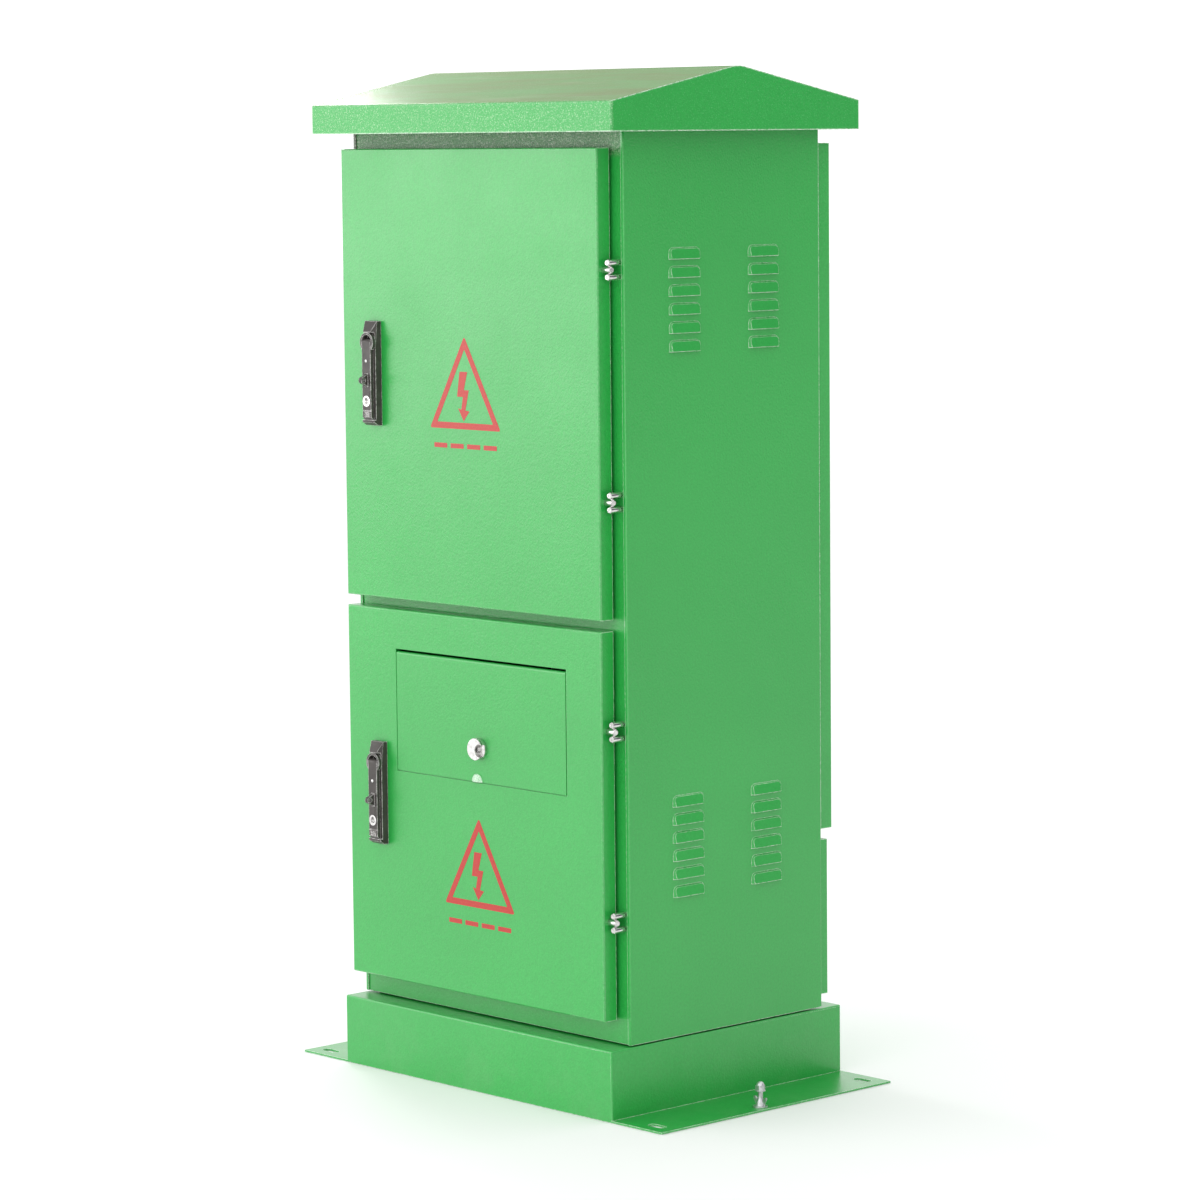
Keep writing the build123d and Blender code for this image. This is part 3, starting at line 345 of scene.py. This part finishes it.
def laminations():
    """A stack of varnished steel sheets, seen as fine lines across its depth."""
    steel = Surface("laminated_core", roughness=0.42, metallic=0.35)
    wave = steel.node("ShaderNodeTexWave", bands_direction="Y")
    wave.inputs["Scale"].default_value = 160.0
    wave.inputs["Distortion"].default_value = 0.4
    steel.link(steel.place, wave.inputs["Vector"])
    lines = wave.outputs["Fac"]
    rust = steel.spread(steel.noise(22.0, 5.0, 0.65), 0.52, 0.74, 0.0, 0.6)
    base = steel.blend(lines, (0.045, 0.045, 0.048), (0.16, 0.16, 0.165))
    steel.colour(steel.blend(rust, base, (0.15, 0.07, 0.035)))
    steel.relief(lines, 0.00012)
    return steel


def printed_red():
    """Red screen print, thin enough that the paint's skin shows through it."""
    ink = Surface("red_print", roughness=0.42, coat=0.15, coat_roughness=0.25)
    thin = ink.spread(ink.noise(900.0, 3.0, 0.7), 0.50, 0.74, 0.0, 0.55)
    ink.colour(ink.blend(thin, (0.46, 0.020, 0.014), (0.52, 0.11, 0.07)))
    ink.relief(ink.noise(330.0, 2.0, 0.45), 0.00018)
    return ink


def floor_finish():
    """A pale seamless floor with hardly any grain."""
    ground = Surface("pale_floor", roughness=0.75, specular=0.2)
    cloud = ground.noise(1.2, 3.0)
    ground.colour(ground.blend(cloud, (0.92, 0.92, 0.92), (0.94, 0.94, 0.94)))
    return ground


FINISHES = {
    "green_paint": powder_coat("green_powder_coat", specks=0.1),
    "door_paint": powder_coat("door_powder_coat", edges=DOOR_EDGES),
    "roof_paint": roof_coat(),
    "chrome": chrome(),
    "black_handle": black_plastic(),
    "zinc_steel": zinc(),
    "foam": foam(),
    "gland_plastic": moulded("gland_polyamide", (0.11, 0.115, 0.12)),
    "breaker_plastic": moulded("breaker_case", (0.052, 0.056, 0.062)),
    "toggle_plastic": moulded("toggle_black", (0.012, 0.012, 0.013), roughness=(0.16, 0.26), coat=0.5),
    "copper": bare_metal("copper_bar", (0.86, 0.44, 0.28), (0.42, 0.19, 0.12)),
    "brass": bare_metal("brass_bar", (0.84, 0.62, 0.27), (0.46, 0.33, 0.14)),
    "insulator": moulded("insulator_red", (0.26, 0.028, 0.018), roughness=(0.20, 0.32), coat=0.4),
    "core_steel": laminations(),
    "coil_resin": moulded("cast_resin", (0.22, 0.055, 0.024), 700.0, (0.22, 0.40), 0.4),
    "terminal_plastic": moulded("terminal_body", (0.46, 0.43, 0.35)),
}
OWN_FINISH = {
    "front_frame": strip_coat("frame_powder_coat"),
    "left_side_panel": strip_coat("left_panel_powder_coat"),
    "inspection_flap": flap_coat(),
    "lower_front_door": powder_coat("lower_door_powder_coat", edges=DOOR_EDGES, flap_x=0.2),
    "flap_frame": powder_coat("flap_frame_powder_coat", edges=0),
}
PRINT = printed_red()


def wear(piece, surface):
    """Give a piece one finish all over."""
    piece.data.materials.clear()
    piece.data.materials.append(surface.material)


for row in frame["record"]["subparts"]:
    name = row["node"]
    wear(nodes[name], OWN_FINISH.get(name) or FINISHES[row["material_slot"]])

# Radii in millimetres.
EDGE_RADII = {
    "roof_cap": 0.9, "plinth": 0.8, "front_frame": 0.3, "upper_front_door": 0.4, "lower_front_door": 0.4,
    "right_side_panel": 0.25, "left_side_panel": 0.25,
    "upper_handle_housing": 0.6, "lower_handle_housing": 0.6,
    "upper_handle_lever": 0.5, "lower_handle_lever": 0.5,
    "upper_handle_spindle": 0.35, "lower_handle_spindle": 0.35, "upper_key_plug": 0.2, "lower_key_plug": 0.2,
    "flap_lock_housing": 0.35, "earth_stud": 0.35, "main_breaker": 1.0, "branch_breakers": 1.0,
    "main_toggle": 0.5, "branch_toggle_1": 0.5, "branch_toggle_2": 0.5, "branch_toggle_3": 0.5,
    "busbars": 0.4, "riser_bars": 0.4, "neutral_and_earth_bars": 0.3, "insulators": 0.6,
    "transformer_coils": 2.5, "transformer_clamps": 0.6, "terminal_block": 0.6, "case_fasteners": 0.5,
    "rear_latch_housing": 0.3, "rear_latch_cam": 0.3, "cable_glands": 0.6,
}


def soften(piece, radius_mm):
    """Round the sharp edges of a CAD node with modifiers, leaving its own mesh alone."""
    weld = piece.modifiers.new("weld", "WELD")
    weld.merge_threshold = 0.01 * MM
    bevel = piece.modifiers.new("edge", "BEVEL")
    bevel.width = radius_mm * MM
    bevel.segments = 2
    bevel.limit_method = "ANGLE"
    bevel.angle_limit = math.radians(32)


for name, radius_mm in EDGE_RADII.items():
    soften(nodes[name], radius_mm)

# ---------------------------------------------------------------- mesh helpers


def new_piece(name, mesh, slot, body, surface=None, smooth=False):
    """A finished piece: its mesh, its finish and the body that carries it."""
    data = bpy.data.meshes.new(name)
    bmesh.ops.recalc_face_normals(mesh, faces=mesh.faces)
    mesh.to_mesh(data)
    mesh.free()
    piece = bpy.data.objects.new(name, data)
    bpy.context.scene.collection.objects.link(piece)
    if smooth:
        data.shade_smooth()
    wear(piece, surface or FINISHES[slot])
    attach(piece, body)
    return piece


def bevelled(piece, width, segments=2):
    """Round a piece's sharp edges."""
    modifier = piece.modifiers.new("bevel", "BEVEL")
    modifier.width = width
    modifier.segments = segments
    modifier.limit_method = "ANGLE"
    modifier.angle_limit = math.radians(35)
    return piece


def extruded(mesh, outline, direction):
    """A flat closed outline of 3-D points, pushed along a direction into a solid."""
    near = [mesh.verts.new(Vector(point)) for point in outline]
    far = [mesh.verts.new(vert.co + Vector(direction)) for vert in near]
    mesh.faces.new(near)
    mesh.faces.new(list(reversed(far)))
    for index, vert in enumerate(near):
        after = (index + 1) % len(near)
        mesh.faces.new((vert, far[index], far[after], near[after]))


def ring(mesh, outer, inner, direction):
    """A band between two closed loops with the same number of points, pushed into a solid."""
    loops = []
    for loop in (outer, inner):
        near = [mesh.verts.new(point) for point in loop]
        far = [mesh.verts.new(Vector(point) + Vector(direction)) for point in loop]
        loops.append((near, far))
    (outer_near, outer_far), (inner_near, inner_far) = loops
    for index in range(len(outer)):
        after = (index + 1) % len(outer)
        mesh.faces.new((outer_near[index], outer_near[after], inner_near[after], inner_near[index]))
        mesh.faces.new((outer_far[index], inner_far[index], inner_far[after], outer_far[after]))
        mesh.faces.new((outer_near[index], outer_far[index], outer_far[after], outer_near[after]))
        mesh.faces.new((inner_near[index], inner_near[after], inner_far[after], inner_far[index]))


def lathe(mesh, profile, origin, axis, steps):
    """A profile of (radius, distance along the axis) turned about the axis."""
    along = Vector(axis).normalized()
    across = along.orthogonal().normalized()
    other = along.cross(across)
    rings = []
    for radius, distance in profile:
        loop = []
        for step in range(steps):
            angle = 2 * math.pi * step / steps
            spoke = across * math.cos(angle) + other * math.sin(angle)
            loop.append(mesh.verts.new(Vector(origin) + along * distance + spoke * radius))
        rings.append(loop)
    for first, second in zip(rings, rings[1:]):
        for step in range(steps):
            after = (step + 1) % steps
            mesh.faces.new((first[step], first[after], second[after], second[step]))
    mesh.faces.new(list(reversed(rings[0])))
    mesh.faces.new(rings[-1])


# ---------------------------------------------------------------- printed signs on the doors

INK_THICKNESS = 0.25 * MM
SIGN_HEIGHT = 137 * MM
SIGN_STROKE = 9.5 * MM
DASH_LENGTH = 29 * MM
DASH_HEIGHT = 7 * MM
DASH_PITCH = 37 * MM
DASH_START = 70 * MM
DASH_DROP = 22 * MM
# The bolt's outline across and up from its middle, in millimetres on a sign of SIGN_HEIGHT.
BOLT = [(6, 30), (-11, 30), (-17, -7), (-4, -7), (-8, -26), (-15, -24), (-3, -43), (10, -28), (1, -27),
        (9, 3), (-2, 3)]


def rounded_triangle(apex, width, height, inset, corner):
    """A triangle moved inwards by an inset, its corners rounded, as points across and up."""
    half = width / 2
    side = math.hypot(half, height)
    inner_radius = half * height / (half + side)
    centre = Vector((apex[0], apex[1] - height + inner_radius))
    foot = apex[1] - height
    corners = [Vector(apex), Vector((apex[0] + half, foot)), Vector((apex[0] - half, foot))]
    shrink = 1 - inset / inner_radius
    corners = [centre + (point - centre) * shrink for point in corners]
    points = []
    for index, point in enumerate(corners):
        before = (corners[index - 1] - point).normalized()
        after = (corners[(index + 1) % 3] - point).normalized()
        for step in range(5):
            mix = step / 4
            points.append(point + (before * (1 - mix) ** 2 + after * mix ** 2) * corner)
    return points


def sign(name, body, door, apex_x, apex_z, width, height):
    """A plain triangle with a bolt in it, and four plain dashes where a caption would be."""
    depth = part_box(door)[0][1]
    apex = (apex_x, apex_z)
    mesh = bmesh.new()
    push = (0, -INK_THICKNESS, 0)

    def on_door(points):
        return [(x, depth, z) for x, z in points]

    ring(mesh, on_door(rounded_triangle(apex, width, height, 0, 5 * MM)),
         on_door(rounded_triangle(apex, width, height, SIGN_STROKE, 2 * MM)), push)
    middle = apex_z - height * 0.60
    scale = height / SIGN_HEIGHT * MM
    outline = [(apex_x + x * scale, middle + z * scale) for x, z in BOLT]
    extruded(mesh, on_door(outline), push)
    for index in range(4):
        left = apex_x - DASH_START + index * DASH_PITCH
        right = left + DASH_LENGTH
        top = apex_z - height - DASH_DROP
        foot = top - DASH_HEIGHT
        dash = [(left, top), (right, top), (right, foot), (left, foot)]
        extruded(mesh, on_door(dash), push)
    new_piece(name, mesh, "door_paint", body, PRINT)


sign("upper_sign", "upper_door", "upper_front_door", -15.8 * MM, 1134 * MM, 158 * MM, 138 * MM)
sign("lower_sign", "lower_door", "lower_front_door", 3.5 * MM, 414 * MM, 157 * MM, 136 * MM)

# ---------------------------------------------------------------- small parts of the swing handles

RIVET = [(2.7, 0.0), (2.7, 0.4), (2.2, 1.0), (1.2, 1.4), (0.3, 1.5)]
RIVET_DROP = 60 * MM
# A thin dark drop-shaped ring and keyhole on the key plug: painted shade standing in for the slot.
SLOT_SHADE_RADIUS = 4.6
SLOT_SHADE_POINT = 1.6
SLOT_SHADE_STEPS = 28
SLOT_SHADE_INNER = 0.6
SLOT_SHADE_THICKNESS = 0.25 * MM
KEYHOLE = [(-0.9, -2.0), (0.9, -2.0), (1.3, 1.2), (0, 2.1), (-1.3, 1.2)]


def handle_details(level):
    """The domed rivet on a lever's face, and on its key plug a thin dark drop-shaped ring and keyhole:
    painted shade for the slot in the plug.
    """
    low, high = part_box(f"{level}_key_plug")
    centre_x = (low[0] + high[0]) / 2
    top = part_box(f"{level}_handle_housing")[1][2]
    face = low[1] + 0.75 * MM
    mesh = bmesh.new()
    profile = [(radius * MM, distance * MM) for radius, distance in RIVET]
    lathe(mesh, profile, (centre_x, face, top - RIVET_DROP), (0, -1, 0), 24)
    new_piece(f"{level}_lever_rivet", mesh, "chrome", f"{level}_lever", smooth=True)
    key_z = (low[2] + high[2]) / 2
    drop = []
    for step in range(SLOT_SHADE_STEPS):
        angle = 2 * math.pi * step / SLOT_SHADE_STEPS
        reach = SLOT_SHADE_RADIUS
        if math.sin(angle) >= 0:
            reach = SLOT_SHADE_RADIUS + SLOT_SHADE_POINT * math.sin(angle) ** 6
        drop.append((centre_x + reach * MM * math.cos(angle), low[1], key_z + reach * MM * math.sin(angle)))
    inner = []
    for x, y, z in drop:
        inner.append(Vector((centre_x + (x - centre_x) * SLOT_SHADE_INNER, y, key_z + (z - key_z) * SLOT_SHADE_INNER)))
    raised = (0, -SLOT_SHADE_THICKNESS, 0)
    # Dark sheets on the plug's face: painted shade where the slot is.
    slot_shade = bmesh.new()
    ring(slot_shade, drop, inner, raised)
    points = [(centre_x + x * MM, low[1], key_z + z * MM) for x, z in KEYHOLE]
    extruded(slot_shade, points, raised)
    bevelled(new_piece(f"{level}_key_slot_shade", slot_shade, "black_handle", f"{level}_key"), 0.08 * MM)


for level in ("upper", "lower"):
    handle_details(level)

# ---------------------------------------------------------------- fixings inside

# Sizes from here to the stage are in millimetres unless MM multiplies them.
WASHER_RATIO = 1.7
WASHER_THICKNESS = 1.0
HEAD_SHOULDER = 0.12
HEAD_TOP = 0.86


def hex_head(mesh, place, axis, flats, height):
    """A hexagon head on a washer, with its corners turned down."""
    base = Vector(place) * MM
    along = Vector(axis)
    rim = flats * WASHER_RATIO / 2 * MM
    lathe(mesh, [(rim, 0), (rim, WASHER_THICKNESS * MM)], base, along, 24)
    corner = flats / math.sqrt(3) * MM
    top = (WASHER_THICKNESS + height) * MM
    shoulder = top - HEAD_SHOULDER * flats * MM
    profile = [(corner, WASHER_THICKNESS * MM), (corner, shoulder), (corner * HEAD_TOP, top)]
    lathe(mesh, profile, base, along, 6)


def cheese_head(mesh, place, axis, radius):
    """A cheese-head screw: a low drum with a domed top."""
    profile = [(radius, 0), (radius, 1.6), (radius * 0.85, 2.2), (radius * 0.3, 2.4)]
    lathe(mesh, [(r * MM, d * MM) for r, d in profile], Vector(place) * MM, axis, 20)


def slab(mesh, x_range, y_range, z_range):
    """A block between limits on each axis, for pieces that are bevelled afterwards."""
    (left, right), (front, back) = x_range, y_range
    outline = [(left, front), (right, front), (right, back), (left, back)]
    points = [(x * MM, y * MM, z_range[0] * MM) for x, y in outline]
    extruded(mesh, points, (0, 0, (z_range[1] - z_range[0]) * MM))


def millimetres(node):
    """A CAD node's limits on each axis, in millimetres."""
    low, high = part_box(node)
    return [(low[axis] / MM, high[axis] / MM) for axis in range(3)]


FORWARD = (0, -1, 0)
BACKWARD = (0, 1, 0)
UP = (0, 0, 1)
PHASE_X = (-35, 0, 35)
BRANCH_X = (-110, 0, 110)
BUS_FACES = (20, 5, -10)
BUS_MIDDLE = 1020
BUS_STEP = 24
NEAR_A_BOLT = 14
SCREW_DEPTH = 14

bolts = bmesh.new()
for phase, (phase_x, face) in enumerate(zip(PHASE_X, BUS_FACES)):
    hex_head(bolts, (phase_x, face, BUS_MIDDLE), FORWARD, 8, 4)
    for branch_x in BRANCH_X:
        drop_x = branch_x + (phase - 1) * BUS_STEP
        if abs(drop_x - phase_x) > NEAR_A_BOLT:
            hex_head(bolts, (drop_x, face, BUS_MIDDLE), FORWARD, 7, 3.5)
bevelled(new_piece("busbar_bolts", bolts, "zinc_steel", "cabinet"), 0.2 * MM)

main_y, main_z = millimetres("main_breaker")[1:]
branch_y, branch_z = millimetres("branch_breakers")[1:]
screws = bmesh.new()
barriers = bmesh.new()
for phase_x in PHASE_X:
    for z in (main_z[0] + 16, main_z[1] - 16):
        hex_head(screws, (phase_x, main_y[0] + SCREW_DEPTH, z), FORWARD, 10, 5)
for x in (-17.5, 17.5):
    for z_range in ((main_z[0] + 2, main_z[0] + 45), (main_z[1] - 45, main_z[1] - 2)):
        slab(barriers, (x - 1.2, x + 1.2), (main_y[0] + 2, main_y[0] + 14.5), z_range)
for branch_x in BRANCH_X:
    for offset in (-24, 0, 24):
        for z in (branch_z[0] + 11, branch_z[1] - 11):
            cheese_head(screws, (branch_x + offset, branch_y[0] + SCREW_DEPTH, z), FORWARD, 5)
    for offset in (-12, 12):
        for z_range in ((branch_z[0] + 1.5, branch_z[0] + 25), (branch_z[1] - 25, branch_z[1] - 1.5)):
            x = branch_x + offset
            slab(barriers, (x - 1, x + 1), (branch_y[0] + 2, branch_y[0] + 14.5), z_range)
bevelled(new_piece("terminal_screws", screws, "zinc_steel", "cabinet"), 0.2 * MM)
bevelled(new_piece("phase_barriers", barriers, "breaker_plastic", "cabinet"), 0.4 * MM)

FRAME_THICKNESS = 1.2


def escutcheon(mesh, x, face, z, half_width, half_height, slot_half, slot_height):
    """A raised frame round a toggle's slot. Its sizes are halves."""
    loops = []
    for wide, high in ((half_width, half_height), (slot_half, slot_height)):
        corners = [(-wide, -high), (wide, -high), (wide, high), (-wide, high)]
        loops.append([((x + across) * MM, face * MM, (z + up) * MM) for across, up in corners])
    ring(mesh, loops[0], loops[1], (0, -FRAME_THICKNESS * MM, 0))


frames = bmesh.new()
main_middle = (main_z[0] + main_z[1]) / 2
branch_middle = (branch_z[0] + branch_z[1]) / 2
escutcheon(frames, 0, main_y[0], main_middle, 34, 42, 13.5, 25)
for branch_x in BRANCH_X:
    escutcheon(frames, branch_x, branch_y[0], branch_middle, 22, 32, 10.5, 25)
bevelled(new_piece("breaker_escutcheons", frames, "terminal_plastic", "cabinet"), 0.4 * MM)

plate_x, plate_y, plate_z = millimetres("mounting_plate")
bar_y, bar_z = millimetres("neutral_and_earth_bars")[1:]
PLATE_MARGIN = 14
BAR_BOLT_X = 190
fixings = bmesh.new()
for x in (plate_x[0] + PLATE_MARGIN, plate_x[1] - PLATE_MARGIN):
    for z in (plate_z[0] + PLATE_MARGIN, (plate_z[0] + plate_z[1]) / 2, plate_z[1] - PLATE_MARGIN):
        hex_head(fixings, (x, plate_y[0], z), FORWARD, 10, 5)
for x in (-BAR_BOLT_X, BAR_BOLT_X):
    for z in (bar_z[0] + 8, bar_z[1] - 8):
        hex_head(fixings, (x, bar_y[0] + 5, z), FORWARD, 7, 3)
bevelled(new_piece("plate_fixings", fixings, "zinc_steel", "cabinet"), 0.2 * MM)

CLAMP_FACE = 40
CLAMP_BOLT_X = (-150, -62, 62, 150)
core_z = millimetres("transformer_core")[2]
clamping = bmesh.new()
for x in CLAMP_BOLT_X:
    for z in (core_z[0] + 25, core_z[1] - 25):
        hex_head(clamping, (x, -CLAMP_FACE, z), FORWARD, 13, 7)
        hex_head(clamping, (x, CLAMP_FACE, z), BACKWARD, 13, 7)
bevelled(new_piece("core_clamping_bolts", clamping, "zinc_steel", "cabinet"), 0.3 * MM)

coil_y, coil_z = millimetres("transformer_coils")[1:]
COIL_X = (-125, 0, 125)
tabs = bmesh.new()
tab_bolts = bmesh.new()
bands = bmesh.new()
for x in COIL_X:
    for z in (coil_z[0] + 30, coil_z[1] - 30):
        slab(bands, (x - 14, x + 14), (coil_y[0] - 7, coil_y[0] + 1), (z - 11, z + 11))
        slab(tabs, (x - 8, x + 8), (coil_y[0] - 10, coil_y[0] - 7), (z - 8, z + 8))
        hex_head(tab_bolts, (x, coil_y[0] - 10, z), FORWARD, 8, 4)
    for z in (coil_z[0] + 55, coil_z[0] + 99, coil_z[1] - 55):
        slab(bands, (x - 9, x + 9), (coil_y[0] - 2.5, coil_y[0] + 1), (z - 5, z + 5))
bevelled(new_piece("coil_terminal_pads", bands, "coil_resin", "cabinet"), 1.2 * MM, 3)
bevelled(new_piece("coil_terminal_tabs", tabs, "copper", "cabinet"), 0.4 * MM)
bevelled(new_piece("coil_terminal_bolts", tab_bolts, "zinc_steel", "cabinet"), 0.2 * MM)

block_z = millimetres("terminal_block")[2]
STUD_X = (-70, -40, 40, 70)
STUD_Y = (-12, 12)
stud_nuts = bmesh.new()
for x in STUD_X:
    for y in STUD_Y:
        hex_head(stud_nuts, (x, y, block_z[1] - 8), UP, 8, 4.5)
bevelled(new_piece("terminal_nuts", stud_nuts, "brass", "cabinet"), 0.2 * MM)

# ---------------------------------------------------------------- stage, light, camera

CAMERA_YAW = math.radians(47.014)
CAMERA_PITCH = math.radians(6.140)
CAMERA_ROLL = math.radians(-0.545)
CAMERA_TARGET = Vector((0, 0, 0.75))
CAMERA_OFFSET = (0.0196, -0.0257, 6.5858)
FOCAL_PIXELS = 4322.4
IMAGE_PIXELS = 1200
SENSOR_MM = 36.0


def make_camera():
    """A long lens at eye height, towards the cabinet's right front corner."""
    back = Vector((math.sin(CAMERA_YAW) * math.cos(CAMERA_PITCH),
                   -math.cos(CAMERA_YAW) * math.cos(CAMERA_PITCH), math.sin(CAMERA_PITCH)))
    level_right = Vector((math.cos(CAMERA_YAW), math.sin(CAMERA_YAW), 0))
    level_up = back.cross(level_right)
    right = level_right * math.cos(CAMERA_ROLL) + level_up * math.sin(CAMERA_ROLL)
    up = level_up * math.cos(CAMERA_ROLL) - level_right * math.sin(CAMERA_ROLL)
    place = CAMERA_TARGET + right * CAMERA_OFFSET[0] + up * CAMERA_OFFSET[1] + back * CAMERA_OFFSET[2]
    data = bpy.data.cameras.new("camera")
    data.sensor_width = SENSOR_MM
    data.lens = FOCAL_PIXELS / IMAGE_PIXELS * SENSOR_MM
    camera = bpy.data.objects.new("camera", data)
    bpy.context.scene.collection.objects.link(camera)
    turn = Matrix((right, up, back)).transposed().to_4x4()
    camera.matrix_world = Matrix.Translation(place) @ turn
    bpy.context.scene.camera = camera


def area_light(name, place, target, size, power):
    """A square soft light that looks at a point."""
    data = bpy.data.lights.new(name, "AREA")
    data.size = size
    data.energy = power
    light = bpy.data.objects.new(name, data)
    bpy.context.scene.collection.objects.link(light)
    aim = (Vector(target) - Vector(place)).to_track_quat("-Z", "Y")
    light.matrix_world = Matrix.Translation(place) @ aim.to_matrix().to_4x4()


DARK_SIDE = (0.75, 0.62, 0.10)
DARK_TINT = (0.10, 0.11, 0.12, 1)
SURROUND_STRENGTH = 1.2
FLOOR_HALF = 30
FLOOR_DROP = 0.5 * MM


def make_stage():
    """A wide pale floor and a white surround with one darker side, which gives metal its contrast."""
    mesh = bmesh.new()
    bmesh.ops.create_grid(mesh, x_segments=2, y_segments=2, size=FLOOR_HALF)
    data = bpy.data.meshes.new("floor")
    mesh.to_mesh(data)
    mesh.free()
    floor = bpy.data.objects.new("floor", data)
    bpy.context.scene.collection.objects.link(floor)
    floor.location.z = -FLOOR_DROP
    wear(floor, floor_finish())
    world = bpy.data.worlds.new("surround")
    bpy.context.scene.world = world
    world.use_nodes = True
    tree = world.node_tree
    background = tree.nodes["Background"]
    background.inputs["Strength"].default_value = SURROUND_STRENGTH
    direction = tree.nodes.new("ShaderNodeTexCoord").outputs["Generated"]
    toward_dark = tree.nodes.new("ShaderNodeVectorMath")
    toward_dark.operation = "DOT_PRODUCT"
    toward_dark.inputs[1].default_value = Vector(DARK_SIDE).normalized()
    tree.links.new(direction, toward_dark.inputs[0])
    edge = tree.nodes.new("ShaderNodeMapRange")
    edge.inputs["From Min"].default_value = 0.78
    edge.inputs["From Max"].default_value = 0.94
    tree.links.new(toward_dark.outputs["Value"], edge.inputs["Value"])
    tint = tree.nodes.new("ShaderNodeMix")
    tint.data_type = "RGBA"
    tint.inputs[6].default_value = (1, 1, 1, 1)
    tint.inputs[7].default_value = DARK_TINT
    tree.links.new(edge.outputs["Result"], tint.inputs["Factor"])
    tree.links.new(tint.outputs[2], background.inputs["Color"])


make_camera()
make_stage()
area_light("key_softbox", (0.9, -4.6, 1.0), (0, 0, 0.4), 2.0, 20)
area_light("left_softbox", (-3.2, -2.9, 1.6), (0, 0, 0.9), 2.2, 36)
area_light("roof_softbox", (-1.2, 0.3, 2.02), (-0.4, -0.13, 1.48), 0.36, 8.0)
bpy.context.scene.view_settings.view_transform = "Standard"
